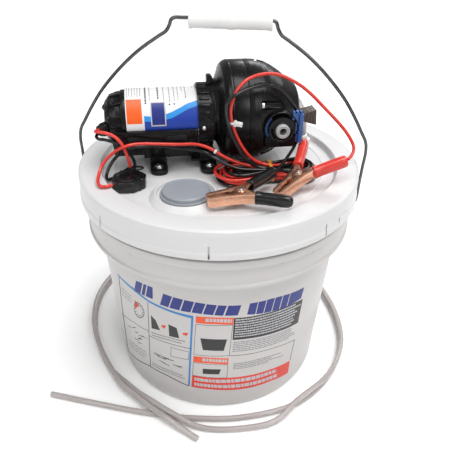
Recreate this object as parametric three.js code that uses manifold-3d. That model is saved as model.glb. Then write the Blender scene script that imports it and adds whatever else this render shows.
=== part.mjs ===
// A twelve-volt fluid transfer pump that stands on the press-on lid of its own plastic pail.
// Millimetres and degrees, +Z up. The origin is the centre of the pail's foot, X runs along
// the pivots of the carrying bail, and -Y is the front.
import * as THREE from "three";
import { mergeVertices } from "three/addons/utils/BufferGeometryUtils.js";
import Module from "manifold-3d";

const wasm = await Module();
wasm.setup();

// ---------------------------------------------------------------- driving dimensions
const GAP = 0.3; // clearance between pieces that touch
const PAIL = { footR: 126, baseR: 129.6, neckR: 140.5, rimR: 147, rimZ: 265.5, wall: 2, floorZ: 5.2 };
const RING = { r: 151.5, low: 201, high: 236 };
const LID = { top: 270, panel: 263, under: 260.8, low: 239, r: 156.4, recessR: 131.5 };
const SPOUT = { x: -26, y: -85.5, r: 37, seatR: 27.6, holeR: 23.5, seatZ: 266.5, top: 269.2 };
const BAIL = { pivotZ: 220, legX: 159.5, wireR: 1.9, topZ: 416.3, earR: 11, earX: 157, holeR: 2.6 };
const GRIP = { r: 6.7, boreR: 5, low: -34, high: 48, z: 413.6 };
const PUMP = { x: 29.2, y: 22, z: 318.9, yaw: 14 }; // where the two head seams' axis stands
const MOTOR = { r: 31.5, drop: 5.2, rear: -132, front: -53.4 }; // the motor hangs below the head's axis
const HEAD = { r: 53.2, seam: -22.2, nose: 55.3 };
const PORT = { u: 26, w: -4.5 };
const FOOT = { r: 10, plateLow: -46.6, plateHigh: -43.4, ground: -55.6, boltR: 2.2 };
const FEET = [
  { name: "rear_right", u: -102, side: -1, v: 32 },
  { name: "rear_left", u: -102, side: 1, v: 32 },
  { name: "front_right", u: -47.5, side: -1, v: 35 },
  { name: "front_left", u: -47.5, side: 1, v: 35 },
];
const CLIP = { jaw: 33, spread: 29.5, outer: 5.2, inner: 4, sheet: 0.9, pinR: 1.5 };
const LEAD = 3.4; // diameter of each insulated wire
const SUCTION = 6.4; // diameter of the loose suction tube
const HOSE = { outerR: 5.6, innerR: 4.3 };
const BULKHEAD = { x: 94.5, y: 71 };

// ---------------------------------------------------------------- solids
function toManifold(geometry) {
  const bare = geometry.clone();
  bare.deleteAttribute("normal");
  bare.deleteAttribute("uv");
  const merged = mergeVertices(bare, 1e-4);
  const index = merged.index.array;
  const kept = [];
  for (let i = 0; i < index.length; i += 3) {
    const [a, b, c] = [index[i], index[i + 1], index[i + 2]];
    if (a !== b && b !== c && a !== c) kept.push(a, b, c);
  }
  const build = (triangles) =>
    new wasm.Manifold(
      new wasm.Mesh({
        numProp: 3,
        vertProperties: merged.attributes.position.array,
        triVerts: new Uint32Array(triangles),
      }),
    );
  const solid = build(kept);
  if (solid.volume() > 0) return solid;
  for (let i = 0; i < kept.length; i += 3) {
    [kept[i + 1], kept[i + 2]] = [kept[i + 2], kept[i + 1]];
  }
  return build(kept);
}

function toGeometry(solid) {
  const mesh = solid.getMesh();
  const position = new Float32Array(mesh.vertProperties);
  return new THREE.BufferGeometry()
    .setAttribute("position", new THREE.BufferAttribute(position, 3))
    .setIndex(new THREE.BufferAttribute(new Uint32Array(mesh.triVerts), 1));
}

function join(...pieces) {
  return toGeometry(pieces.map(toManifold).reduce((sum, piece) => sum.add(piece)));
}

function cut(body, ...tools) {
  return toGeometry(tools.map(toManifold).reduce((left, tool) => left.subtract(tool), toManifold(body)));
}

// A profile of [radius, height] points turned about Z.
function turned(profile, segments = 28) {
  const points = profile.map(([radius, height]) => new THREE.Vector2(radius, height));
  return new THREE.LatheGeometry(points, segments).rotateX(Math.PI / 2);
}

// A profile of [radius, u] points turned about an axis that runs along X at height w.
function turnedAlong(profile, { segments = 28, v = 0, w = 0 } = {}) {
  return turned(profile, segments)
    .rotateY(Math.PI / 2)
    .translate(0, v, w);
}

function rod(radius, low, high, { segments = 16, x = 0, y = 0 } = {}) {
  return turned([[0, low], [radius, low], [radius, high], [0, high]], segments).translate(x, y, 0);
}

function rodAlong(radius, low, high, options) {
  return turnedAlong([[0, low], [radius, low], [radius, high], [0, high]], options);
}

// A rod along Y (the pump's v direction) at a place (u, w).
function rodAcross(radius, low, high, { u = 0, w = 0, segments = 20 } = {}) {
  return rod(radius, low, high, { segments }).rotateX(-Math.PI / 2).translate(u, 0, w);
}

function block([x0, x1], [y0, y1], [z0, z1]) {
  return new THREE.BoxGeometry(x1 - x0, y1 - y0, z1 - z0).translate((x0 + x1) / 2, (y0 + y1) / 2, (z0 + z1) / 2);
}

function outline(points) {
  return new THREE.Shape(points.map(([x, y]) => new THREE.Vector2(x, y)));
}

// An outline in the XY plane, raised from z = low to high.
function raised(shape, low, high, curveSegments = 10) {
  const options = { depth: high - low, bevelEnabled: false, curveSegments };
  return new THREE.ExtrudeGeometry(shape, options).translate(0, 0, low);
}

// An outline given as (v, w) points, run along X from u = low to high.
function runAlong(shape, low, high) {
  return raised(shape, low, high).rotateX(Math.PI / 2).rotateZ(Math.PI / 2);
}

// An outline given as (u, w) points, run along Y from v = low to high.
function runAcross(shape, low, high) {
  return raised(shape, -high, -low).rotateX(Math.PI / 2);
}

function circle(radius, sides) {
  const points = [];
  for (let i = 0; i < sides; i += 1) {
    const angle = (2 * Math.PI * (i + 0.5)) / sides;
    points.push([radius * Math.cos(angle), radius * Math.sin(angle)]);
  }
  return points;
}

function tube(points, diameter, steps, { sides = 8, bore = 0 } = {}) {
  const path = new THREE.CatmullRomCurve3(points.map((p) => new THREE.Vector3(...p)), false, "centripetal");
  const section = outline(circle(diameter / 2, sides));
  if (bore) section.holes.push(new THREE.Path(outline(circle(bore / 2, sides)).getPoints()));
  return new THREE.ExtrudeGeometry(section, { steps, bevelEnabled: false, extrudePath: path });
}

// ---------------------------------------------------------------- finishes
const finish = (color, roughness, metalness = 0) => () =>
  new THREE.MeshStandardMaterial({ color, roughness, metalness });
const WHITE_HDPE = finish(0xe9e7e3, 0.42);
const BRIGHT_HDPE = finish(0xf3f3f2, 0.4);
const GREY_HDPE = finish(0x9b9fa6, 0.45);
const BLACK_NYLON = finish(0x1b1b1c, 0.38);
const BLACK_RUBBER = finish(0x1a1a1a, 0.7);
const BLACK_VINYL = finish(0x121214, 0.3);
const RED_VINYL = finish(0xd8231c, 0.32);
const COPPER = finish(0xc98058, 0.28, 1);
const ZINC = finish(0xb4b4b2, 0.35, 1);
const STEEL = finish(0xc4c5c8, 0.3, 1);
const COPPER_WINDING = finish(0xa4572b, 0.4, 1);
const FERRITE = finish(0x3a3a3c, 0.6);
const BLUE_NYLON = finish(0x1f4fa3, 0.35);
const BROWN_PHENOLIC = finish(0x3d342d, 0.5);
const GREY_ACETAL = finish(0xb8b8b6, 0.4);
const WHITE_NYLON = finish(0xe6e6e4, 0.4);
const CLEAR_VINYL = finish(0xbcb6ae, 0.25);

function part(name, geometry, look) {
  const mesh = new THREE.Mesh(toGeometry(toManifold(geometry)), look());
  mesh.name = name;
  return mesh;
}

const root = new THREE.Group();
const both = [-1, 1];

// ---------------------------------------------------------------- pail, lid and bail
function pail() {
  const shell = turned(
    [
      [0, 3],
      [118, 3],
      [121, 0],
      [PAIL.footR, 0],
      [PAIL.baseR, 3.5],
      [PAIL.neckR, RING.low],
      [141.5, RING.high - 2.5],
      [RING.r - 2.2, RING.high - 2.5],
      [RING.r - 2.2, RING.low],
      [RING.r, RING.low],
      [RING.r, RING.high - 3],
      [RING.r - 1.5, RING.high],
      [PAIL.rimR - 0.8, RING.high],
      [PAIL.rimR, PAIL.rimZ],
      [PAIL.rimR - PAIL.wall, PAIL.rimZ],
      [PAIL.rimR - PAIL.wall - 0.8, RING.high + 2],
      [139.5, RING.high - 2.5],
      [PAIL.neckR - PAIL.wall, RING.low],
      [PAIL.baseR - PAIL.wall, 7.5],
      [124, PAIL.floorZ],
      [0, PAIL.floorZ],
    ],
    36,
  );
  const ears = both.map((side) =>
    rodAlong(BAIL.earR, 150, BAIL.earX, { segments: 20 }).scale(side, 1, 1).translate(0, 0, BAIL.pivotZ),
  );
  const holes = both.map((side) =>
    rodAlong(BAIL.holeR, 147.5, 160, { segments: 12 }).scale(side, 1, 1).translate(0, 0, BAIL.pivotZ),
  );
  return part("pail", cut(join(shell, ...ears), ...holes), WHITE_HDPE);
}

function lid() {
  const cover = turned(
    [
      [0, LID.panel],
      [LID.recessR - 2, LID.panel],
      [LID.recessR, LID.top],
      [152.5, LID.top],
      [154.6, LID.top - 1],
      [155.4, LID.top - 4],
      [155.4, 247],
      [LID.r, 245.5],
      [LID.r, LID.low],
      [154.2, LID.low],
      [153.2, 266.4],
      [152, 267.8],
      [142.6, 267.8],
      [142.2, 257.5],
      [140.4, 257.5],
      [140.2, 267.8],
      [133.2, 267.8],
      [131.2, LID.under],
      [0, LID.under],
    ],
    36,
  );
  const boss = turned([[0, 261.5], [SPOUT.r, 261.5], [SPOUT.r, 262.5], [34.5, 265], [30.6, SPOUT.top], [0, SPOUT.top]], 28);
  boss.translate(SPOUT.x, SPOUT.y, 0);
  const seat = rod(SPOUT.seatR, SPOUT.seatZ, 275, { segments: 28, x: SPOUT.x, y: SPOUT.y });
  const hole = rod(SPOUT.holeR, 250, 275, { segments: 28, x: SPOUT.x, y: SPOUT.y });
  const outlet = rod(5.6, 250, 275, { x: BULKHEAD.x, y: BULKHEAD.y });
  return part("lid", cut(join(cover, boss), seat, hole, outlet), BRIGHT_HDPE);
}

const lidGasket = () =>
  part("lid_gasket", turned([[144.6, 265.9], [148.6, 265.9], [148.6, 267.5], [144.6, 267.5], [144.6, 265.9]], 40), BLACK_RUBBER);

function spoutCap() {
  const cap = turned(
    [
      [0, 270.9],
      [23.6, 270.9],
      [24.4, 272],
      [26.4, 272],
      [27, 271.4],
      [27, SPOUT.seatZ + GAP],
      [23.1, SPOUT.seatZ + GAP],
      [23.1, 257],
      [21.3, 257],
      [21.3, 268.4],
      [0, 268.4],
    ],
    28,
  );
  return part("spout_cap", cap.translate(SPOUT.x, SPOUT.y, 0), GREY_HDPE);
}

// Half of the bail's outline, as [distance from the middle, height].
const BAIL_SIDE = [
  [20, BAIL.topZ],
  [40, BAIL.topZ],
  [48.6, BAIL.topZ - 0.3],
  [51.6, 414.2],
  [53.8, 408.6],
  [57.5, 403],
  [65.5, 397.8],
  [85.5, 384],
  [106, 366],
  [127, 343.3],
  [140, 325.3],
  [151.5, 306.5],
  [158, 295],
  [160, 284],
  [159.7, 268],
  [BAIL.legX, 245],
  [BAIL.legX, BAIL.pivotZ - 1.5],
];

function bailWire() {
  const right = BAIL_SIDE.map(([x, z]) => [x, 0, z]);
  const left = BAIL_SIDE.map(([x, z]) => [-x, 0, z]).reverse();
  const arch = tube([...left, ...right], 2 * BAIL.wireR, 44);
  const hooks = both.flatMap((side) => [
    rodAlong(BAIL.wireR, 145.5, BAIL.legX + 1.5, { segments: 8 }).scale(side, 1, 1).translate(0, 0, BAIL.pivotZ),
    rodAlong(3.4, 144.4, 146.2, { segments: 12 }).scale(side, 1, 1).translate(0, 0, BAIL.pivotZ),
  ]);
  return part("bail_wire", join(arch, ...hooks), ZINC);
}

function bailGrip() {
  const { r, boreR, low, high, z } = GRIP;
  const middle = (low + high) / 2;
  const sleeve = turnedAlong(
    [
      [boreR, low],
      [r + 0.6, low],
      [r + 0.6, low + 2],
      [r - 0.2, low + 5],
      [r, middle - 4],
      [r + 0.5, middle - 2],
      [r + 0.5, middle + 2],
      [r, middle + 4],
      [r - 0.2, high - 5],
      [r + 0.6, high - 2],
      [r + 0.6, high],
      [boreR, high],
      [boreR, low],
    ],
    { segments: 14, w: z },
  );
  return part("bail_grip", sleeve, WHITE_NYLON);
}

root.add(pail(), lid(), lidGasket(), spoutCap(), bailWire(), bailGrip());

// ---------------------------------------------------------------- pump
// Inside this group u runs along the shaft towards the head, v to the back and w up.
const pump = new THREE.Group();
pump.position.set(PUMP.x, PUMP.y, PUMP.z);
pump.rotation.z = THREE.MathUtils.degToRad(PUMP.yaw);
root.add(pump);
const shaftLine = { w: -MOTOR.drop };

function motorCan() {
  const { r, rear, front } = MOTOR;
  const can = [[r, rear], [r, front], [5, front], [5, front - 3], [r - 1.8, front - 3], [r - 1.8, rear], [r, rear]];
  return part("motor_can", turnedAlong(can, shaftLine), BRIGHT_HDPE);
}

const SWITCH = { u: -153, v: -5, w: 12.5, tilt: 40 };
const GLAND = { u: -154.5, v: -18, w: -8.5, aim: -42 };

// Turns a piece made upright at the origin to stand on the rear cover's shoulder.
function onShoulder(geometry) {
  return geometry
    .rotateY(-THREE.MathUtils.degToRad(SWITCH.tilt))
    .translate(SWITCH.u, SWITCH.v, SWITCH.w);
}

// Turns a piece made upright at the origin to point along the lead gland.
function alongGland(geometry) {
  return geometry
    .rotateX(Math.PI / 2)
    .rotateZ(THREE.MathUtils.degToRad(GLAND.aim))
    .translate(GLAND.u, GLAND.v, GLAND.w);
}

function rearCover() {
  const cup = turnedAlong(
    [
      [0, -157.5],
      [23, -156.4],
      [27.6, -151],
      [30.4, -141],
      [30.8, -132.4],
      [28.8, -132.4],
      [28.4, -141],
      [22, -153.6],
      [10.3, -153.6],
      [10.3, -147.5],
      [8.4, -147.5],
      [8.4, -154.6],
      [0, -154.6],
    ],
    { segments: 24, ...shaftLine },
  );
  const turret = onShoulder(rod(9, -3, 4.5));
  const well = onShoulder(rod(7.2, -1.5, 20));
  const gland = alongGland(rod(7.2, -5, 5.4));
  const glandBore = alongGland(rod(5.1, -6, 8));
  return part("rear_cover", cut(join(cup, turret, gland), well, glandBore), BLACK_NYLON);
}

function switchButton() {
  const dome = turned([[0, 0.2], [6.6, 0.2], [6.6, 4.6], [5.6, 7.4], [3.2, 9], [0, 9.6]], 16);
  return part("switch_button", onShoulder(dome), BLACK_RUBBER);
}

function strainRelief() {
  const boot = rod(4.7, -4, 9.6, { segments: 12 });
  const ribs = [6, 8].map((z) => rod(5.9, z, z + 1, { segments: 12 }));
  return part("strain_relief", alongGland(join(boot, ...ribs)), BLACK_RUBBER);
}

function armature() {
  const profile = [
    [0, -153.8],
    [4, -153.8],
    [4, -128],
    [9.5, -128],
    [9.5, -118],
    [4, -118],
    [4, -115],
    [14, -113],
    [18, -110],
    [18, -80],
    [14, -76],
    [4, -74],
    [4, -12],
    [0, -12],
  ];
  return part("armature", turnedAlong(profile, { segments: 16, ...shaftLine }), COPPER_WINDING);
}

function ringAlong(name, innerR, outerR, low, high, look, options) {
  const profile = [[innerR, low], [outerR, low], [outerR, high], [innerR, high], [innerR, low]];
  return part(name, turnedAlong(profile, { segments: 20, ...shaftLine, ...options }), look);
}

// The cradle holds the motor from below: its keel is shallow under the rear cover, and
// its tongue passes under the gear housing to the two front feet.
function baseCradle() {
  const { r, drop } = MOTOR;
  const { plateLow, plateHigh } = FOOT;
  const keel = outline([[-35, -7], [-35, -20], [-29, -27], [-22, -39.4], [22, -39.4], [29, -27], [35, -20], [35, -7]]);
  const deck = outline([[-29, -24], [-24, -42], [24, -42], [29, -24]]);
  const hollow = rodAlong(r + 0.4, -160, -50, { segments: 32, w: -drop });
  const tray = cut(join(runAlong(keel, -148, -59), runAlong(deck, -117, -60)), hollow);
  const step = block([-66, -58.6], [-22, 22], [plateLow, -41]);
  const tongue = block([-66, -38], [-28, 28], [plateLow, -44.3]);
  const supports = FEET.flatMap(({ u, side, v }) => {
    const pad = rod(FOOT.r, plateLow, plateHigh, { segments: 16, x: u, y: side * v });
    const rear = runAlong(outline([[18, -40], [26, -38], [32, plateHigh], [32, plateLow], [26, plateLow]]), u - 9, u + 9);
    const leg = block([u - 8, u + 5], [36, 41.5], [plateLow, -28]);
    const hip = block([-66, u + 5], [31.5, 41.5], [-33, -28.8]);
    const cheek = block([-66, -59.5], [30, 41.5], [-33, -21]);
    return u < -60 ? [pad, rear.scale(1, side, 1)] : [pad, join(leg, hip, cheek).scale(1, side, 1)];
  });
  const boltHoles = FEET.flatMap(({ u, side, v }) => [
    rod(FOOT.boltR + GAP, -60, -40, { segments: 10, x: u, y: side * v }),
    rod(4.9, plateHigh, -34, { segments: 12, x: u, y: side * v }),
  ]);
  return part("base_cradle", cut(join(tray, step, tongue, ...supports), ...boltHoles), BLACK_NYLON);
}

function footPieces({ name, u, side, v }) {
  const { r, plateLow, plateHigh, ground, boltR } = FOOT;
  const at = { x: u, y: side * v };
  const bush = turned(
    [
      [boltR + GAP, ground],
      [r - 0.4, ground],
      [r - 0.2, ground + 4],
      [r - 1, plateLow - GAP],
      [boltR + GAP, plateLow - GAP],
      [boltR + GAP, ground],
    ],
    16,
  ).translate(at.x, at.y, 0);
  const screw = turned(
    [[0, ground + 0.4], [boltR, ground + 0.4], [boltR, plateHigh + GAP], [4.4, plateHigh + GAP], [4, plateHigh + 2], [0, plateHigh + 3]],
    12,
  ).translate(at.x, at.y, 0);
  return [part("foot_bush_" + name, bush, BLACK_RUBBER), part("foot_screw_" + name, screw, STEEL)];
}

function gearHousing() {
  const collar = rodAlong(38.4, -58, -40, shaftLine);
  const bell = turnedAlong([[0, -46], [36, -46], [38, -40], [43, -36], [49, -31.6], [52.4, -27], [53.4, HEAD.seam - GAP], [0, HEAD.seam - GAP]]);
  const lug = raised(outline([[-50, 26], [-39.4, 26], [-39.4, 38], [-41.5, 40.6], [-50, 40.6]]), -2.5, 2.5).rotateX(Math.PI / 2);
  const cavity = turnedAlong([[0, -44], [33, -44], [36, -39], [46, -31.6], [49.6, -27], [50.4, -20], [0, -20]]);
  const mouth = rodAlong(MOTOR.r + 0.4, -60, MOTOR.front + GAP, shaftLine);
  const bearingBore = rodAlong(8.3, -60, -40, { segments: 20, ...shaftLine });
  return part("gear_housing", cut(join(collar, bell, lug), cavity, mouth, bearingBore), BLACK_NYLON);
}

const driveHousing = () => {
  const wall = [[53.2, HEAD.seam], [53.2, -GAP], [49.6, -GAP], [49.6, HEAD.seam], [53.2, HEAD.seam]];
  return part("drive_housing", turnedAlong(wall), BLACK_NYLON);
};

function wobblePlate() {
  const plate = turnedAlong([[0, -17], [16, -17], [18, -13], [42, -12], [42, -8.5], [0, -8.5]], { segments: 24 });
  const bore = rodAlong(9.9, -20, -5, { segments: 20, ...shaftLine });
  return part("wobble_plate", cut(plate, bore), GREY_ACETAL);
}

function eccentric() {
  const cam = rodAlong(8, -21, -10, { segments: 20, w: 1.5 - MOTOR.drop });
  const bore = rodAlong(4 + GAP, -24, -5, { segments: 12, ...shaftLine });
  return part("eccentric_cam", cut(cam, bore), STEEL);
}

function diaphragm() {
  const sheet = [[0, -3.2], [30, -3.2], [38, -4.6], [49.2, -3.2], [49.2, -1.4], [38, -2.8], [30, -1.4], [0, -1.4]];
  return part("diaphragm", turnedAlong(sheet, { segments: 24 }), BLACK_RUBBER);
}

const valvePlate = () =>
  part("valve_plate", turnedAlong([[0, 1], [42, 1], [42, 4], [20, 5.5], [0, 5.5]], { segments: 24 }), GREY_ACETAL);

// The clips lock the plug-in ports. Each clip is a flat frame that slides along u.
const CLIP_SLOT = { near: 46.4, far: 51, half: 8.5 };

function pumpHead() {
  const dome = turnedAlong(
    [
      [0, 0.1],
      [HEAD.r, 0.1],
      [52.8, 8],
      [51.3, 14],
      [47.8, 22],
      [42.3, 31],
      [36.5, 38],
      [31, 45],
      [25, 51.5],
      [16, 54.4],
      [0, HEAD.nose],
    ],
    { segments: 32 },
  );
  const chamber = turnedAlong([[0, -1], [43, -1], [43, 10], [40, 20], [32, 33], [20, 46], [0, 49.5]], { segments: 20 });
  const at = { u: PORT.u, w: PORT.w };
  const flats = both.map((side) => block([3.6, 60], [46.4, 60], [-18, 18]).scale(1, side, 1).translate(0, 0, PORT.w));
  const bosses = both.flatMap((side) => [
    rodAcross(18, 30, 43.5, at).scale(1, side, 1),
    rodAcross(13.5, 30, 54.2, at).scale(1, side, 1),
  ]);
  const bores = both.flatMap((side) => [
    rodAcross(7.6, 44.2, 60, at).scale(1, side, 1),
    rodAcross(4, 20, 60, at).scale(1, side, 1),
  ]);
  const { near, far, half } = CLIP_SLOT;
  const slots = both.flatMap((side) =>
    both.map((end) =>
      block([PORT.u - 16, PORT.u + 16], [near, far], [half, 20]).scale(1, side, end).translate(0, 0, PORT.w),
    ),
  );
  const shell = cut(join(cut(dome, ...flats), ...bosses), chamber);
  return part("pump_head", cut(shell, ...bores, ...slots), BLACK_NYLON);
}

function portClip(name, side) {
  const frame = outline([[4.5, -9], [10, -15], [38, -15], [48.5, -15], [48.5, 15.5], [36, 15.5], [10, 14], [4.5, 8]]);
  frame.holes.push(
    new THREE.Path([[8.4, -7], [12, -9.2], [41.2, -9.2], [41.2, 9.2], [12, 9.2], [8.4, 7]].map(([x, y]) => new THREE.Vector2(x, y))),
  );
  const plate = runAcross(frame, -50.6, -46.8);
  const teeth = [37.5, 41.5, 45.5].map((u) => block([u, u + 2.2], [-50.6, -45.4], [15, 18]));
  const tab = block([44.5, 48.5], [-53.4, -46.8], [-15, 15.5]);
  const clip = join(plate, tab, ...teeth).translate(0, 0, PORT.w).scale(1, -side, 1);
  return part(name, clip, BLUE_NYLON);
}

function inletFitting() {
  const body = rodAcross(7.2, -60, -44.5, { u: PORT.u, w: PORT.w });
  const bore = rodAcross(3.9, -62, -40, { u: PORT.u, w: PORT.w, segments: 16 });
  return part("inlet_fitting", cut(body, bore), GREY_ACETAL);
}

function outletFitting() {
  const at = { u: PORT.u, w: PORT.w };
  const along = { segments: 12, v: 62, w: PORT.w };
  const stem = rodAcross(7.2, 44.5, 69, at);
  const barb = rodAlong(3.9, PORT.u, PORT.u + 20, along);
  const shoulder = rodAlong(6.4, PORT.u, PORT.u + 9, along);
  const bore = rodAcross(2.6, 42, 62, { ...at, segments: 12 });
  const turn = rodAlong(2.6, PORT.u - 2, PORT.u + 26, along);
  return part("outlet_fitting", cut(join(stem, barb, shoulder), bore, turn), GREY_ACETAL);
}

function pressureSwitch() {
  const cap = runAcross(outline([[60.5, -7], [62.5, -5.4], [77.3, -1.4], [78.8, -19.4], [63, -14.6], [60.5, -13]]), -8, 9);
  const neck = rodAlong(5, HEAD.nose + GAP, 61, { segments: 16, v: 0.5, w: -9.5 });
  return part("pressure_switch", join(cap, neck), BROWN_PHENOLIC);
}

pump.add(
  motorCan(),
  rearCover(),
  switchButton(),
  strainRelief(),
  armature(),
  ringAlong("magnet_ring", 20.5, 29.2, -118, -72, FERRITE),
  ringAlong("rear_bearing", 4 + GAP, 8, -154.2, -148, STEEL),
  ringAlong("front_bearing", 4 + GAP, 8, -52.6, -46.6, STEEL),
  baseCradle(),
  ...FEET.flatMap(footPieces),
  gearHousing(),
  driveHousing(),
  wobblePlate(),
  eccentric(),
  diaphragm(),
  valvePlate(),
  pumpHead(),
  portClip("inlet_clip", -1),
  portClip("outlet_clip", 1),
  inletFitting(),
  outletFitting(),
  pressureSwitch(),
);

// ---------------------------------------------------------------- discharge line
// From the rear port's elbow the hose bends down onto a barbed fitting through the lid.
const HOSE_ROUTE = [
  [48.5, 90.75, 314.4],
  [54, 92.12, 314.4],
  [59.5, 93.5, 314.4],
  [71, 96, 313.6],
  [83, 94, 308.5],
  [90.8, 85.4, 299.5],
  [94, 75.8, 289],
  [BULKHEAD.x, BULKHEAD.y, 280],
  [BULKHEAD.x, BULKHEAD.y, 273.6],
];

function lidOutlet() {
  const fitting = turned(
    [
      [2.6, 250],
      [5, 250],
      [5, LID.panel + GAP],
      [9.5, LID.panel + GAP],
      [9.5, 266],
      [7.4, 266.4],
      [7.4, 272.6],
      [3.8, 273],
      [3.8, 279],
      [2.6, 279],
      [2.6, 250],
    ],
    12,
  );
  return part("lid_outlet", fitting.translate(BULKHEAD.x, BULKHEAD.y, 0), WHITE_NYLON);
}

const dischargeHose = () =>
  part("discharge_hose", tube(HOSE_ROUTE, 2 * HOSE.outerR, 13, { sides: 10, bore: 2 * HOSE.innerR }), CLEAR_VINYL);

root.add(lidOutlet(), dischargeHose());

// ---------------------------------------------------------------- fuse holder
const fuse = new THREE.Group();
fuse.position.set(-83.8, -66.3, LID.panel + GAP);
fuse.rotation.z = THREE.MathUtils.degToRad(51);
root.add(fuse);

function fuseBody() {
  const shape = outline([[-0.2, -16], [-11, -16], [-21, -6], [-21, 6], [-11, 16], [-0.2, 16]]);
  return part("fuse_body", cut(raised(shape, 0, 11.5), block([-11, 1], [-8, 8], [3, 9])), BLACK_RUBBER);
}

function fuseCap() {
  const shape = outline([[0.2, -16], [5, -16], [12, -9], [12, 9], [5, 16], [0.2, 16]]);
  return part("fuse_cap", cut(raised(shape, 0, 12.2), block([-1, 9], [-8, 8], [3, 9])), BLACK_RUBBER);
}

fuse.add(fuseBody(), fuseCap(), part("blade_fuse", block([-10, 3.5], [-7.4, 7.4], [3.6, 8.4]), BLUE_NYLON));

// ---------------------------------------------------------------- battery clips
// A clip lies on its side: its origin is the pivot, -x points to the jaws' tips, and the
// two levers open in its xy plane. Each lever is a pressed channel that is open inwards.
const SLEEVE = { from: 15.2, to: 51, half: 6.3, thick: 5.2, offset: -3.3 };

function lever(name, half, side) {
  const tip = -CLIP.jaw - 1;
  const jaw = [[tip, -0.4], [tip, -4.6], [tip + 4, -6.6], [-14, -7.6], [0, -9.6]];
  const arm = [[9.8, -12.3], [37.1, -27.8], [39.7, -23.3], [12.5, -7.8]];
  const ear = [[6, -1], [4, 4.4], [-4, 4.4], [-9, -0.4]];
  const hollow = outline([
    [tip + 2, 1],
    [tip + 2, -3.4],
    [tip + 4.4, -5.5],
    [-14, -6.5],
    [0, -8.5],
    [10.3, -11.2],
    [46.3, -31.5],
    [51.7, -22.3],
    [11, -4],
    [8, 8],
    [-8, 8],
  ]);
  const hole = rod(CLIP.pinR + GAP, -10, 10, { segments: 10 });
  const plate = raised(outline([...jaw, ...arm, ...ear]), -half, half);
  const inside = raised(hollow, CLIP.sheet - half, half - CLIP.sheet);
  return part(name, cut(plate, inside, hole).scale(1, -side, 1), COPPER);
}

function sleeve(name, side, look) {
  const { from, to, half, thick, offset } = SLEEVE;
  const section = [[-thick, -half + 2], [-thick + 2, -half], [thick - 2, -half], [thick, -half + 2]];
  const shell = outline([...section, ...section.map(([y, z]) => [-y, -z])]);
  const body = cut(runAlong(shell, from, to), block([from - 1, to - 3], [-3.1, 3.1], [-5.5, 5.5]), rodAlong(1.9, to - 5, to + 1));
  const placed = body
    .translate(0, offset, 0)
    .rotateZ(THREE.MathUtils.degToRad(-CLIP.spread));
  return part(name, placed.scale(1, -side, 1), look);
}

function clipPin(name) {
  const { pinR, outer } = CLIP;
  const head = outer + GAP;
  const half = [[0, head + 0.9], [2.4, head + 0.6], [2.4, head], [pinR, head]];
  const profile = [...half, ...half.map(([r, z]) => [r, -z]).reverse()];
  return part(name, turned(profile, 10), STEEL);
}

function clipSpring(name) {
  const coil = turned([[1.8, -2.6], [2.9, -2.6], [2.9, 2.6], [1.8, 2.6], [1.8, -2.6]], 12);
  const legs = both.map((side) =>
    block([2.2, 11], [-0.5, 0.5], [side > 0 ? 1.2 : -2.2, side > 0 ? 2.2 : -1.2]).rotateZ(side * 0.5),
  );
  return part(name, join(coil, ...legs), STEEL);
}

function batteryClip(prefix, { position, yaw, pitch, roll }, look) {
  const clip = new THREE.Group();
  const turn = [roll, pitch, yaw].map(THREE.MathUtils.degToRad);
  clip.position.set(...position);
  clip.rotation.set(...turn, "ZYX");
  clip.add(
    lever(prefix + "_clip_front_lever", CLIP.outer, -1),
    lever(prefix + "_clip_back_lever", CLIP.inner, 1),
    sleeve(prefix + "_clip_front_sleeve", -1, look),
    sleeve(prefix + "_clip_back_sleeve", 1, look),
    clipPin(prefix + "_clip_pin"),
    clipSpring(prefix + "_clip_spring"),
  );
  return clip;
}

const CLIP_POSES = {
  black: { position: [30.9, -95.3, 276.2], yaw: 19.5, pitch: -4.5, roll: 4.6 },
  red: { position: [86.4, -58.1, 279.6], yaw: 48.8, pitch: -18.5, roll: -2.3 },
};
root.add(batteryClip("black", CLIP_POSES.black, BLACK_VINYL), batteryClip("red", CLIP_POSES.red, RED_VINYL));

// ---------------------------------------------------------------- leads
// Both leads leave the motor together. The red one passes through the fuse holder, the
// black one round behind it, and both run along the cradle to the hank.
const RED_TO_FUSE = [
  [-121, -41.7, 312.2],
  [-122.7, -45, 312.4],
  [-122.5, -48.6, 313],
  [-119.4, -51.6, 313.9],
  [-113, -52.4, 314],
  [-104, -52, 311.2],
  [-97, -53, 306],
  [-92.6, -54.4, 299.6],
  [-90, -55.2, 292],
  [-88.4, -55, 284.6],
  [-87.6, -55, 278.6],
];
const RED_TO_HANK = [
  [-98.8, -85, 272.6],
  [-103.4, -89.4, 272.6],
  [-109, -90, 272.8],
  [-113.6, -84, 274],
  [-115.6, -73, 277.4],
  [-114, -64, 283.4],
  [-108, -59.6, 290.6],
  [-100, -58.2, 297],
  [-92, -58.4, 301.6],
  [-84, -55, 303.4],
  [-74, -49.4, 302.6],
  [-58.6, -43.4, 300.6],
  [-38.4, -38.8, 299.2],
  [-22.7, -36.6, 299.4],
  [-11, -38.2, 298.2],
  [-1, -41, 295],
  [10, -42.6, 289.4],
  [24, -41, 283],
  [36, -38.6, 278.8],
];
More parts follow.
